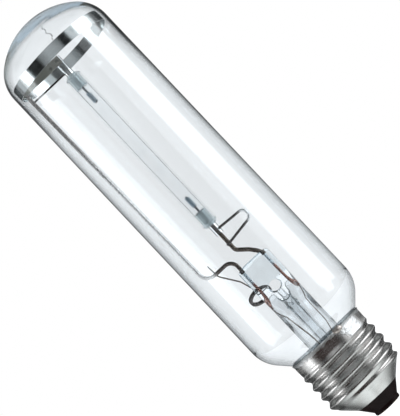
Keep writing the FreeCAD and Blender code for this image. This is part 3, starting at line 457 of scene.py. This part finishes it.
def make_metal(name, light, dark, roughness, spot_scale=900, bump=0.02, stretch=(1, 1, 1)):
    """A bare metal: tint, roughness and bump all vary with noise on the object's own coordinates."""
    material = bpy.data.materials.new(name)
    tree = new_tree(material)
    tint = blend_colours(tree, spots(tree, spot_scale, 0, 1, stretch=stretch), light, dark)
    rough = spots(tree, spot_scale * 1.7, roughness[0], roughness[1], stretch=stretch)
    grain = spots(tree, spot_scale * 6, 0, 1, detail=2, stretch=stretch)
    normal = add(tree, "Bump", {"Height": grain, "Strength": bump, "Distance": 0.0002}).outputs[0]
    values = {"Base Color": tint, "Metallic": 1.0, "Roughness": rough, "Normal": normal}
    shader = add(tree, "BsdfPrincipled", values)
    add(tree, "OutputMaterial", {"Surface": shader.outputs[0]})
    return material


frame_nickel = make_metal("frame_nickel", (0.20, 0.175, 0.155), (0.10, 0.085, 0.075), (0.22, 0.36), bump=0.05)
dark_nickel = make_metal("dark_nickel", (0.07, 0.06, 0.055), (0.035, 0.03, 0.03), (0.25, 0.4), bump=0.05)
spring_steel = make_metal("spring_steel", (0.66, 0.68, 0.68), (0.56, 0.59, 0.59), (0.09, 0.16), 400, 0.02)
copper_lead = make_metal("copper_lead", (0.36, 0.29, 0.25), (0.20, 0.16, 0.14), (0.25, 0.4), bump=0.08)
niobium = make_metal("niobium", (0.72, 0.73, 0.74), (0.60, 0.61, 0.62), (0.12, 0.20), bump=0.02)
tungsten = make_metal("tungsten", (0.16, 0.17, 0.19), (0.09, 0.10, 0.11), (0.3, 0.45), bump=0.1)
coil_tungsten = make_metal("coil_tungsten", (0.40, 0.52, 0.60), (0.28, 0.38, 0.45), (0.3, 0.45), bump=0.1)
getter_steel = make_metal("getter_steel", (0.20, 0.19, 0.18), (0.12, 0.11, 0.11), (0.35, 0.5), bump=0.1)
contact_brass = make_metal("contact_brass", (0.72, 0.60, 0.40), (0.56, 0.47, 0.33), (0.25, 0.4), 600, 0.06)
solder = make_metal("solder", (0.80, 0.74, 0.70), (0.48, 0.42, 0.39), (0.30, 0.48), 900, 0.12)
print("plain metals ready")

# %% [markdown]
# Some finishes need more than wandering shades. The strap is darker at three spots, taken as welds. The cap
# is plated, tinned along its rim, and smeared with solder to the right of the joint with the side lead.
# Where the tin lies is worked out from the angle round the cap and the height, with noise for its edge. The
# rod and the loop are dark in some stretches and pale in others, and the pale is painted: a reflection on
# the rod between the dome and the hook, a glint at the loop's bend. The seal wires are reddish brown low
# down and pale near the press's top. On each wire the shade follows the place along it.

# %% Strap, cap, and wires of two tones
WELDS = [(-15.2, 141.3), (-4.6, 141.1), (-1.7, 141.5)]
WELD_RADIUS = 0.75 * MM
RIM_TIN = 26.35 * MM
RIM_FADE = 0.15 * MM
TIN_RAGGED = 0.45 * MM
SMEAR_LEFT = 14.0
SMEAR_SLANT = 2.6
SMEAR_RAGGED = 4.0
SMEAR_FADE = 2.5
SMEAR_RIGHT = (52.0, 62.0)
SMEAR_BOTTOM = 22.6 * MM
BOTTOM_FADE = 0.4 * MM
SMEAR_TOP = 27.0
PLATE_LINES = 2600
# The rod's pale stretch is a painted reflection, and the loop's pale bend is a painted glint
ROD_PAINTED_REFLECTION_HEIGHTS = (90 * MM, 128 * MM)
ROD_PAINTED_REFLECTION_SIDE = (-12.0 * MM, -11.0 * MM)
LOOP_PAINTED_GLINT_SIDE = (6.6 * MM, 8.0 * MM)
SEAL_TONE_HEIGHTS = (52.6 * MM, 54.4 * MM)


def make_strap_nickel():
    """Grey nickel strip, satin, darker round each weld."""
    material = bpy.data.materials.new("strap_nickel")
    tree = new_tree(material)
    x, _, z = object_axes(tree)
    dark = None
    for weld_x, weld_z in WELDS:
        across = calculate(tree, "SUBTRACT", x, weld_x * MM)
        up = calculate(tree, "SUBTRACT", z, weld_z * MM)
        square = calculate(tree, "ADD", calculate(tree, "POWER", across, 2), calculate(tree, "POWER", up, 2))
        reach = calculate(tree, "SQRT", square)
        near = spread(tree, reach, WELD_RADIUS * 0.5, WELD_RADIUS, 1, 0, smooth=True)
        dark = near if dark is None else calculate(tree, "MAXIMUM", dark, near)
    tint = blend_colours(tree, spots(tree, 350, 0, 1), (0.35, 0.35, 0.31), (0.28, 0.28, 0.25))
    tint = blend_colours(tree, calculate(tree, "MULTIPLY", dark, 0.75), tint, (0.10, 0.095, 0.085))
    rough = spots(tree, 500, 0.34, 0.46)
    normal = add(tree, "Bump", {"Height": dark, "Strength": 0.5, "Distance": 0.0002}).outputs[0]
    shader = add(tree, "BsdfPrincipled", {
        "Base Color": tint, "Metallic": 1.0, "Roughness": rough, "Normal": normal})
    add(tree, "OutputMaterial", {"Surface": shader.outputs[0]})
    return material


def tin_on_cap(tree):
    """1 where tin or solder lies: along the rim, and right of the joint with a slanted left edge."""
    x, y, z = object_axes(tree)
    wander = spots(tree, 420, -1, 1, detail=4)
    degrees = calculate(tree, "DEGREES", calculate(tree, "ARCTAN2", x, calculate(tree, "MULTIPLY", y, -1)))
    drop = calculate(tree, "SUBTRACT", SMEAR_TOP, calculate(tree, "DIVIDE", z, MM))
    edge = calculate(tree, "ADD", calculate(tree, "MULTIPLY", drop, SMEAR_SLANT), SMEAR_LEFT)
    edge = calculate(tree, "ADD", edge, calculate(tree, "MULTIPLY", wander, SMEAR_RAGGED))
    past = calculate(tree, "SUBTRACT", degrees, edge)
    smear = spread(tree, past, 0, SMEAR_FADE, smooth=True)
    smear = calculate(tree, "MULTIPLY", smear, spread(tree, degrees, *SMEAR_RIGHT, 1, 0, smooth=True))
    ragged = calculate(tree, "ADD", z, calculate(tree, "MULTIPLY", wander, TIN_RAGGED))
    low = spread(tree, ragged, SMEAR_BOTTOM, SMEAR_BOTTOM + BOTTOM_FADE)
    rim = spread(tree, ragged, RIM_TIN, RIM_TIN + RIM_FADE)
    return calculate(tree, "MAXIMUM", calculate(tree, "MULTIPLY", smear, low), rim)


def make_cap_plate():
    """Nickel plate with fine rolled lines round it, and satin tin where the solder ran."""
    material = bpy.data.materials.new("cap_plate")
    tree = new_tree(material)
    tin = tin_on_cap(tree)
    tint = blend_colours(tree, spots(tree, 260, 0, 1), (0.71, 0.695, 0.685), (0.59, 0.565, 0.555))
    tint = blend_colours(tree, calculate(tree, "MULTIPLY", tin, 0.8), tint, (0.76, 0.77, 0.78))
    rough = calculate(tree, "ADD", spots(tree, 420, 0.23, 0.30), calculate(tree, "MULTIPLY", tin, 0.16))
    rolled = spots(tree, PLATE_LINES, 0, 1, detail=2, stretch=(0.06, 0.06, 1))
    lines = add(tree, "Bump", {"Height": rolled, "Strength": 0.10, "Distance": 0.0001}).outputs[0]
    lumps = calculate(tree, "MULTIPLY", tin, spots(tree, 1100, 0, 1, detail=3))
    normal = add(tree, "Bump", {
        "Height": lumps, "Strength": 0.30, "Distance": 0.0003, "Normal": lines}).outputs[0]
    shader = add(tree, "BsdfPrincipled", {
        "Base Color": tint, "Metallic": 1.0, "Roughness": rough, "Normal": normal})
    add(tree, "OutputMaterial", {"Surface": shader.outputs[0]})
    return material


def make_toned(name, bright, toned, tone):
    """Metal wire that goes from bright to dark by a share from 0 to 1 that tone works out from x and z."""
    material = bpy.data.materials.new(name)
    tree = new_tree(material)
    x, _, z = object_axes(tree)
    share = calculate(tree, "MULTIPLY", tone(tree, x, z), spots(tree, 500, 0.9, 1.0))
    tint = blend_colours(tree, share, bright, toned)
    rough = spots(tree, 1500, 0.20, 0.34)
    grain = spots(tree, 5400, 0, 1, detail=2)
    normal = add(tree, "Bump", {"Height": grain, "Strength": 0.05, "Distance": 0.0002}).outputs[0]
    values = {"Base Color": tint, "Metallic": 1.0, "Roughness": rough, "Normal": normal}
    shader = add(tree, "BsdfPrincipled", values)
    add(tree, "OutputMaterial", {"Surface": shader.outputs[0]})
    return material


def seal_tone(tree, x, z):
    """1 in the lower, reddish-brown stretch, 0 near the press's top."""
    return spread(tree, z, *SEAL_TONE_HEIGHTS, 1, 0, smooth=True)


def rod_painted_reflection_tone(tree, x, z):
    """1 near the dome and along the hook, the two dark stretches, and 0 between, painted pale as a
    reflection.
    """
    high = spread(tree, z, *ROD_PAINTED_REFLECTION_HEIGHTS, smooth=True)
    return calculate(tree, "MAXIMUM", high, spread(tree, x, *ROD_PAINTED_REFLECTION_SIDE, smooth=True))


def loop_painted_glint_tone(tree, x, z):
    """1 along the legs, 0 at the bend, which is painted pale as a glint."""
    return spread(tree, x, *LOOP_PAINTED_GLINT_SIDE, 1, 0, smooth=True)


strap_nickel = make_strap_nickel()
cap_plate = make_cap_plate()
# The bright shades of rod and loop are a painted reflection and a painted glint
rod_nickel_painted_reflection = make_toned("rod_nickel_painted_reflection", (0.70, 0.69, 0.69), (0.12, 0.10, 0.09), rod_painted_reflection_tone)
loop_nickel_painted_glint = make_toned("loop_nickel_painted_glint", (0.80, 0.83, 0.85), (0.10, 0.09, 0.085), loop_painted_glint_tone)
copper_clad_wire = make_toned("copper_clad_wire", (0.66, 0.72, 0.76), (0.36, 0.18, 0.14), seal_tone)
print("strap, cap, rod, loop and seal wire finishes ready")

# %% [markdown]
# The insulator, the cement and the amalgam share one shader, with two shades and a bump. Alumina lets most
# of the light through, so it gets another.

# %% Alumina, insulator, cement and amalgam


def make_solid(name, light, dark, roughness, spot_scale=900, bump=0.1, metallic=0.0, gloss=0.5):
    """Two shades that wander, a range of roughness and a bump. metallic is 1 for the amalgam."""
    material = bpy.data.materials.new(name)
    tree = new_tree(material)
    tint = blend_colours(tree, spots(tree, spot_scale, 0, 1), light, dark)
    rough = spots(tree, spot_scale * 2, roughness[0], roughness[1])
    grain = spots(tree, spot_scale * 5, 0, 1, detail=4)
    normal = add(tree, "Bump", {"Height": grain, "Strength": bump, "Distance": 0.0003}).outputs[0]
    values = {"Base Color": tint, "Metallic": metallic, "Roughness": rough, "Normal": normal}
    shader = add(tree, "BsdfPrincipled", {**values, "Specular IOR Level": gloss})
    add(tree, "OutputMaterial", {"Surface": shader.outputs[0]})
    return material


def make_alumina(name, light, dark, roughness, milk, ior):
    """Sintered alumina: most light goes straight on, and the milky share comes out scattered."""
    material = bpy.data.materials.new(name)
    tree = new_tree(material)
    tint = blend_colours(tree, spots(tree, 300, 0, 1), light, dark)
    ice = add(tree, "BsdfPrincipled", {
        "Base Color": tint, "Roughness": roughness, "IOR": ior, "Transmission Weight": 1.0})
    through = add(tree, "BsdfTranslucent", {"Color": tint})
    both = add(tree, "MixShader", {0: milk, 1: ice.outputs[0], 2: through.outputs[0]})
    shade = add(tree, "BsdfTransparent", {"Color": (0.75, 0.78, 0.8, 1)})
    path = add(tree, "LightPath")
    surface = add(tree, "MixShader", {
        0: path.outputs["Is Shadow Ray"], 1: both.outputs[0], 2: shade.outputs[0]})
    add(tree, "OutputMaterial", {"Surface": surface.outputs[0]})
    return material


insulator_glass = make_solid(
    "insulator_glass", (0.008, 0.004, 0.004), (0.004, 0.002, 0.002), (0.24, 0.36), 500, 0.03, gloss=0.06)
cement = make_solid("cement", (0.20, 0.17, 0.15), (0.11, 0.09, 0.08), (0.75, 0.9), 1500, 0.5)
amalgam = make_solid("amalgam", (0.55, 0.56, 0.58), (0.42, 0.43, 0.45), (0.2, 0.35), 1500, 0.3, metallic=1.0)
tube_alumina = make_alumina("tube_alumina", (0.985, 0.99, 0.992), (0.955, 0.967, 0.972), 0.05, 0.06, 1.08)
plug_alumina = make_alumina("plug_alumina", (0.930, 0.980, 0.985), (0.88, 0.950, 0.960), 0.10, 0.32, 1.12)
print("other solids ready")

# %% [markdown]
# The nodes that stay as packed get their finish here. Their solids are round enough to be seen as they are,
# so only the material is new.

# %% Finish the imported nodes
FINISHES = {
    "screw_shell": cap_plate,
    "cap_insulator": insulator_glass,
    "centre_contact": contact_brass,
    "centre_solder": solder,
    "capping_cement": cement,
    "centre_lead_wire": copper_lead,
    "side_lead_wire": copper_lead,
    "centre_seal_wire": copper_clad_wire,
    "side_seal_wire": copper_clad_wire,
    "frame_rod": rod_nickel_painted_reflection,
    "lower_lead_wire": frame_nickel,
    "expansion_loop": loop_nickel_painted_glint,
    "upper_lead_wire": dark_nickel,
    "getter_holder_wire": frame_nickel,
    "dome_spring_ring": spring_steel,
    "cross_strap": strap_nickel,
    "arc_tube": tube_alumina,
    "lower_niobium_tube": niobium,
    "upper_niobium_tube": niobium,
    "lower_electrode_rod": tungsten,
    "upper_electrode_rod": tungsten,
    "lower_electrode_coil": coil_tungsten,
    "upper_electrode_coil": coil_tungsten,
    "amalgam_dose": amalgam,
    "getter_ring": getter_steel,
}
for name, material in FINISHES.items():
    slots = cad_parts[name].data.materials
    slots.clear()
    slots.append(material)
print(len(FINISHES), "nodes finished")

# %% [markdown]
# The other pieces are new meshes. Most are turned: a profile of radius and height, carried once round an
# axis. Lines and arcs make the profile as arrays. The grid of quads between its rows closes on itself or
# ends in a pole at either end, so that no wall is left open.

# %% Helpers for new pieces


def line(start, end, steps):
    """Points evenly spaced from start up to, but not including, end."""
    share = np.linspace(0, 1, steps, endpoint=False)[:, None]
    return np.array(start) + share * (np.array(end) - np.array(start))


def arc(centre, radius, first, last, steps):
    """Points on a circle round the centre, from the first angle to just before the last, in degrees."""
    angle = np.radians(np.linspace(first, last, steps, endpoint=False))
    return np.array(centre) + radius * np.stack([np.cos(angle), np.sin(angle)], 1)


def quads(rows, columns, closed=False):
    """The four corners of each face of a grid whose columns go once round. A closed grid's rows do too."""
    row = np.arange(rows if closed else rows - 1)[:, None]
    column = np.arange(columns)[None, :]
    next_row, next_column = (row + 1) % rows, (column + 1) % columns
    corners = [row * columns + column, row * columns + next_column,
               next_row * columns + next_column, next_row * columns + column]
    return np.stack(corners, -1).reshape(-1, 4)


def make_piece(name, points, faces, material, nodes, merge=True):
    """A smooth closed piece from points in millimetres, faces outwards. merge joins doubled points."""
    mesh = bpy.data.meshes.new(name)
    mesh.from_pydata((np.asarray(points) * MM).tolist(), [], np.asarray(faces).tolist())
    shape = bmesh.new()
    shape.from_mesh(mesh)
    if merge:
        bmesh.ops.remove_doubles(shape, verts=shape.verts, dist=1e-7)
    if shape.calc_volume(signed=True) < 0:
        bmesh.ops.reverse_faces(shape, faces=shape.faces)
    loose = sum(1 for edge in shape.edges if not edge.is_manifold)
    volume = shape.calc_volume() * 1e9
    triangles = sum(len(face.verts) - 2 for face in shape.faces)
    shape.to_mesh(mesh)
    shape.free()
    mesh.shade_smooth()
    mesh.materials.append(material)
    piece = bpy.data.objects.new(name, mesh)
    bpy.context.scene.collection.objects.link(piece)
    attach(piece, "root")
    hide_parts(*nodes)
    print(f"{name}: {triangles} triangles, {volume:.1f} mm3, {loose} open edges")


# %% [markdown]
# The bulb is blown from tube: a crown and a knuckle make the dome, then comes the straight wall, the
# shoulder and the cone down to the neck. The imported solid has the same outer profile, but its rows are as
# far apart as flatness allows, and glass shows every row as a bent reflection. So the profile is drawn again
# with close rows, and the inner wall is made slightly uneven, as blown glass is, and thickest under the
# crown.

# %% Outer bulb
DOME_KNUCKLE = 11.0
CROWN_ANGLE = 41.0
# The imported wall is 0.8 mm, and it is drawn thinner here.
WALL = 0.6
DOME_EXTRA = 1.0
SHOULDER_BEND = 11.0
CONE_SLOPE = 43.0
SHOULDER_HEIGHT = 38.5
CONE_EDGE = (15.795, 30.998)
NECK_RADIUS = 11.0
NECK_TOP = 25.856
BULB_COLUMNS = 180
WALL_WAVE = 0.035
WAVE_RADIUS = 18
DOME_RISE = 12.5
DOME_RIPPLE = 0.26
DOME_LEAN = (0.9, 0.3)


def bulb_profile(wall):
    """Dome, wall, shoulder, cone and neck, as far inside the outer face as the wall says."""
    radius, top, foot = cad_box[1].x / MM, cad_box[1].z / MM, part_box("outer_bulb")[0].z / MM
    crown = DOME_KNUCKLE + (radius - DOME_KNUCKLE) / math.sin(math.radians(CROWN_ANGLE))
    middle = radius - DOME_KNUCKLE
    base = top - crown + (crown - DOME_KNUCKLE) * math.cos(math.radians(CROWN_ANGLE))
    slope = math.radians(CONE_SLOPE)
    cone = (CONE_EDGE[0] - wall * math.cos(slope), CONE_EDGE[1] + wall * math.sin(slope))
    neck = (NECK_RADIUS - wall, NECK_TOP + wall * math.tan(slope / 2))
    return np.concatenate([
        arc((0, top - crown), crown - wall, 90, 90 - CROWN_ANGLE, 40),
        arc((middle, base), DOME_KNUCKLE - wall, 90 - CROWN_ANGLE, 0, 30),
        line((radius - wall, base), (radius - wall, SHOULDER_HEIGHT), 40),
        arc((middle, SHOULDER_HEIGHT), SHOULDER_BEND - wall, 0, -CONE_SLOPE, 26),
        line(cone, neck, 10),
        line(neck, (NECK_RADIUS - wall, foot), 8),
        [(NECK_RADIUS - wall, foot)],
    ])


def make_bulb():
    """Outer profile down, inner profile back up, turned round the axis, the inner one uneven.

    Under the crown the inner face sinks by the square of the share of the dome's rise, more on the right and
    in ripples. All over it waves in and out a little, by sines of the angle and the height.
    """
    outer, inner = bulb_profile(0.0), bulb_profile(WALL)[::-1]
    profile = np.concatenate([outer, inner])
    angle = np.linspace(0, 2 * math.pi, BULB_COLUMNS, endpoint=False)
    radius = np.repeat(profile[:, :1], BULB_COLUMNS, 1)
    height = np.repeat(profile[:, 1:], BULB_COLUMNS, 1)
    inside = (np.arange(len(profile)) >= len(outer))[:, None]
    wave = np.sin(3 * angle + 0.7) * np.sin(height / 31) + np.sin(2 * angle - height / 47)
    top = profile[:, 1].max()
    crown = np.clip((height - top + DOME_RISE) / DOME_RISE, 0, 1) ** 2
    reach = radius / radius.max()
    ripple = DOME_RIPPLE * np.sin(5 * angle + 1.0) * np.sin(9 * reach)
    sink = DOME_EXTRA * crown * (1 + reach * DOME_LEAN[0] * np.cos(angle - DOME_LEAN[1]) + reach * ripple)
    radius = radius * (1 + inside * wave * WALL_WAVE / WAVE_RADIUS)
    height = height - inside * sink
    points = np.stack([radius * np.cos(angle), radius * np.sin(angle), height], -1).reshape(-1, 3)
    faces = quads(len(profile), BULB_COLUMNS)
    make_piece("outer_bulb_glass", points, faces, bulb_glass, ["outer_bulb"])


make_bulb()

# %% [markdown]
# The stem is glass that was melted, pinched flat and blown through, and no profile can be carried along it.
# It is written as a field instead: a formula that is negative inside the glass and positive outside. Solids
# join where the lower of two fields is taken, and the join is rounded off like melted glass by a smooth
# minimum. The surface is found with surface nets: a point in every cell of a grid that the surface crosses,
# a face across every grid edge that it crosses, and then each point slides along the field's slope, in a
# few steps, to where the field is nought.

# %% Surface nets
NET_SLIDES = 5
SLOPE_PROBE = 0.02
LEAST_SQUARE = 0.25


def smooth_least(first, second, melt):
    """The lower of two fields, rounded where they are closer than melt."""
    near = np.maximum(melt - np.abs(first - second), 0) / melt
    return np.minimum(first, second) - near * near * melt / 4


def smooth_most(first, second, melt):
    """The higher of two fields, rounded the same way."""
    return -smooth_least(-first, -second, melt)


def net_surface(field, low, high, step):
    """Points and faces of the surface where the field is nought, inside a box of cells."""
    axes = [np.arange(a, b + s, s) for a, b, s in zip(low, high, step)]
    inside = field(*np.meshgrid(*axes, indexing="ij")) < 0
    corners = [inside[i:inside.shape[0] - 1 + i, j:inside.shape[1] - 1 + j, k:inside.shape[2] - 1 + k]
               for i in (0, 1) for j in (0, 1) for k in (0, 1)]
    crossed = np.any(corners, 0) & ~np.all(corners, 0)
    number = np.full(crossed.shape, -1)
    number[crossed] = np.arange(crossed.sum())
    points = np.stack([axes[n][index] + step[n] / 2 for n, index in enumerate(np.nonzero(crossed))], 1)
    faces = []
    for axis in range(3):
        ahead = np.roll(inside, -1, axis)
        core = [slice(1, -1)] * 3
        change = (inside != ahead)[tuple(core)]
        i, j, k = (index + 1 for index in np.nonzero(change))
        enters = ahead[i, j, k]
        side, other = (np.eye(3, dtype=int)[(axis + n) % 3] for n in (1, 2))
        around = [number[i - a[0], j - a[1], k - a[2]]
                  for a in (side + other, other, np.zeros(3, int), side)]
        quad = np.stack(around, 1)
        faces.append(np.where(enters[:, None], quad[:, ::-1], quad))
    for _ in range(NET_SLIDES):
        value = field(*points.T)
        slope = np.stack([(field(*(points + shift).T) - field(*(points - shift).T)) / (2 * SLOPE_PROBE)
                          for shift in np.eye(3) * SLOPE_PROBE], 1)
        points = points - slope * (value / np.maximum((slope**2).sum(1), LEAST_SQUARE))[:, None]
    return points, np.concatenate(faces)


print("surface nets ready")

# %% [markdown]
# The stem itself: a flare that is sealed to the neck, a tube, and the press, where the tube was pinched
# flat round the wires. The exhaust tube stands inside and ends in the hole that was blown through the
# press. On the real lamp stem and exhaust tube are melted together, so one piece stands for both nodes
# here. The pinch is drawn long and straight, because a steep slope in clear glass turns black.

# %% Stem
TUBE_MIDDLE = 5.2
TUBE_HALF_WALL = 0.45
FLARE_BEND = 4.8
FLARE_FOOT = 13.55
BRIM_INSET = 0.35
SHEET_TOP = 36
PRESS_HALF_WIDTH = 5.85
PRESS_HALF_THICKNESS = 2.0
PRESS_TOP = 59.0
PRESS_EDGE = 1.2
PRESS_RIPPLE = 0.05
PRESS_SQUARENESS = 2.5
PINCH = (41.6, 50.0)
PINCH_STRAIGHT = 0.6
EXHAUST_MIDDLE = 1.35
EXHAUST_HALF_WALL = 0.4
EXHAUST_TIP = 15.35
EXHAUST_TOP = 47.0
BLOW_HOLE = (0.0, 48.7, 1.9)
HOLE_MELT = 0.7
HOLE_SQUASH = 1.15
CAVITY = (39.5, 46.8)
CAVITY_TIP = 0.05
CAVITY_MELT = 0.3
EXHAUST_MELT = 1.0
BORE_MELT = 0.2
STEM_BOX = ((-12.03, -12.03, 12.4), (12, 12, 60))
STEM_CELL = (0.26, 0.26, 0.36)


def eased(value):
    """From 0 to 1 with a smooth start and end."""
    share = np.clip(value, 0, 1)
    return share * share * (3 - 2 * share)


def sheet_field(radius, height):
    """Distance to the middle line of the flare and tube, less half the wall."""
    bend_x, bend_z = TUBE_MIDDLE + FLARE_BEND, FLARE_FOOT + FLARE_BEND
    upright = np.abs(radius - TUBE_MIDDLE)
    bend = np.abs(np.hypot(bend_x - radius, bend_z - height) - FLARE_BEND)
    brim = np.hypot(np.maximum(radius - NECK_RADIUS + BRIM_INSET, 0), height - FLARE_FOOT)
    low = np.where(radius < bend_x, bend, brim)
    return np.where(height > bend_z, upright, low) - TUBE_HALF_WALL


def stem_field(x, y, z):
    """Negative inside the stem's glass."""
    radius = np.hypot(x, y)
    climb = (z - PINCH[0]) / (PINCH[1] - PINCH[0])
    pinch = PINCH_STRAIGHT * np.clip(climb, 0, 1) + (1 - PINCH_STRAIGHT) * eased(climb)
    outer = TUBE_MIDDLE + TUBE_HALF_WALL
    wide = outer + (PRESS_HALF_WIDTH - outer) * pinch
    deep = outer + (PRESS_HALF_THICKNESS - outer) * pinch
    deep = deep * (1 + PRESS_RIPPLE * pinch * np.sin(0.9 * x + 0.5) * np.sin(0.55 * z))
    square = 2 + PRESS_SQUARENESS * pinch
    across = ((np.abs(x) / wide) ** square + (np.abs(y) / deep) ** square) ** (1 / square)
    solid = (across - 1) * deep
    solid = smooth_most(solid, z - PRESS_TOP, PRESS_EDGE)
    hollow_wide = wide - 2 * TUBE_HALF_WALL
    share = np.clip((z - CAVITY[0]) / (CAVITY[1] - CAVITY[0]), 0, 1)
    hollow_deep = (deep - 2 * TUBE_HALF_WALL) * (1 - share) + CAVITY_TIP * share
    bow = np.sqrt(np.maximum(1 - (x / hollow_wide) ** 2, 0))
    hollow = np.maximum(np.abs(y) - hollow_deep * bow, np.abs(x) - hollow_wide)
    hollow = np.maximum(hollow, z - CAVITY[1])
    body = smooth_most(solid, -hollow, CAVITY_MELT)
    body = np.where(z > SHEET_TOP, body, sheet_field(radius, z))
    exhaust = np.hypot(radius, np.maximum(EXHAUST_TIP - z, 0))
    tube = np.hypot(exhaust, np.maximum(z - EXHAUST_TOP, 0)) - EXHAUST_MIDDLE - EXHAUST_HALF_WALL
    body = smooth_least(body, tube, EXHAUST_MELT)
    bore = np.maximum(exhaust - EXHAUST_MIDDLE + EXHAUST_HALF_WALL, z - BLOW_HOLE[1])
    body = smooth_most(body, -bore, BORE_MELT)
    hole = np.hypot(x - BLOW_HOLE[0], (z - BLOW_HOLE[1]) * HOLE_SQUASH) - BLOW_HOLE[2]
    return smooth_most(body, -hole, HOLE_MELT)


def make_stem():
    """The surface of the stem's field, with none of its points merged.

    All of them are of use, also where the hollow's edge brings two close together.
    """
    points, faces = net_surface(stem_field, *STEM_BOX, STEM_CELL)
    nodes = ["stem_glass", "exhaust_tube"]
    make_piece("stem", points, faces, stem_glass, nodes, merge=False)


make_stem()

# %% [markdown]
# The arc tube's ends are closed by ceramic plugs, and a bead of sealing glass runs round each niobium tube
# where it leaves the plug. The bead melted, so it is round, and it is what makes the ends of the tube look
# bulbous.

# %% Plugs with their sealing beads
PLUG_COLUMNS = 64
ARC_TUBE_X = -1.4
BEAD_RADIUS = 1.05
BEAD_SINK = 0.15


def make_plug(name, inward):
    """A ring from bore to niobium tube, its outer face swollen into a bead. inward is 1 at the lower end."""
    low, high = (corner.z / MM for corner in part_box(name))
    inner_face, end = (high, low) if inward > 0 else (low, high)
    bore = (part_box(name)[1].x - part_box(name)[0].x) / MM / 2
    tube = (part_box("lower_niobium_tube")[1].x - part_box("lower_niobium_tube")[0].x) / MM / 2
    bead = arc((tube, BEAD_SINK), BEAD_RADIUS, 0, -90, 14) * (1, inward) + (0, end)
    profile = np.concatenate([
        line((tube, inner_face), (bore, inner_face), 4),
        line((bore, inner_face), (bore, end + BEAD_SINK * inward), 12),
        bead,
        line((tube, end - (BEAD_RADIUS - BEAD_SINK) * inward), (tube, inner_face), 12),
    ])
    angle = np.linspace(0, 2 * math.pi, PLUG_COLUMNS, endpoint=False)
    radius, height = profile[:, :1], np.repeat(profile[:, 1:], PLUG_COLUMNS, 1)
    x, y = radius * np.cos(angle) + ARC_TUBE_X, radius * np.sin(angle)
    points = np.stack([x, y, height], -1).reshape(-1, 3)
    faces = quads(len(profile), PLUG_COLUMNS, closed=True)
    make_piece(name + "_sealed", points, faces, plug_alumina, [name])


make_plug("lower_end_plug", 1)
make_plug("upper_end_plug", -1)

# %% [markdown]
# The solder that joins the side lead to the rim is an uneven lump. It is an egg whose radius swells and
# sinks by a few sines, pulled out to the right.

# %% Side solder
SOLDER_SHAPE = (48, 32)
SOLDER_SIZE = (1.05, 1.5, 1.0)
SOLDER_SWELL = 0.10
SOLDER_PULL = 0.25
SOLDER_SAG = 0.35


def make_side_solder():
    """An egg across the rim, its axes along the rim's radius, its tangent and the height."""
    low, high = (np.array(corner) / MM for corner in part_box("side_solder"))
    middle = (low + high) / 2
    out = np.array([middle[0], middle[1], 0]) / np.hypot(middle[0], middle[1])
    along = np.array([-out[1], out[0], 0])
    columns, rows = SOLDER_SHAPE
    round_angle, down = np.meshgrid(
        np.linspace(0, 2 * math.pi, columns, endpoint=False), np.linspace(0, math.pi, rows))
    bulge = np.sin(2 * round_angle + 0.6) * np.sin(down) ** 2
    dent = np.sin(3 * down + 1) * np.sin(round_angle + 2) * np.sin(down)
    swell = 1 + SOLDER_SWELL * (bulge + dent)
    pull = SOLDER_PULL * np.maximum(np.cos(round_angle), 0) ** 3 * np.sin(down)
    right = np.sin(down) * np.cos(round_angle) * swell * SOLDER_SIZE[1] + pull
    depth = np.sin(down) * np.sin(round_angle) * swell * SOLDER_SIZE[0]
    rise = np.cos(down) * swell * SOLDER_SIZE[2] - SOLDER_SAG * pull
    upwards = np.array([0, 0, 1])
    points = middle + right[..., None] * along + depth[..., None] * out + rise[..., None] * upwards
    points, faces = points.reshape(-1, 3), quads(rows, columns)
    make_piece("side_solder_lump", points, faces, solder, ["side_solder"])


make_side_solder()
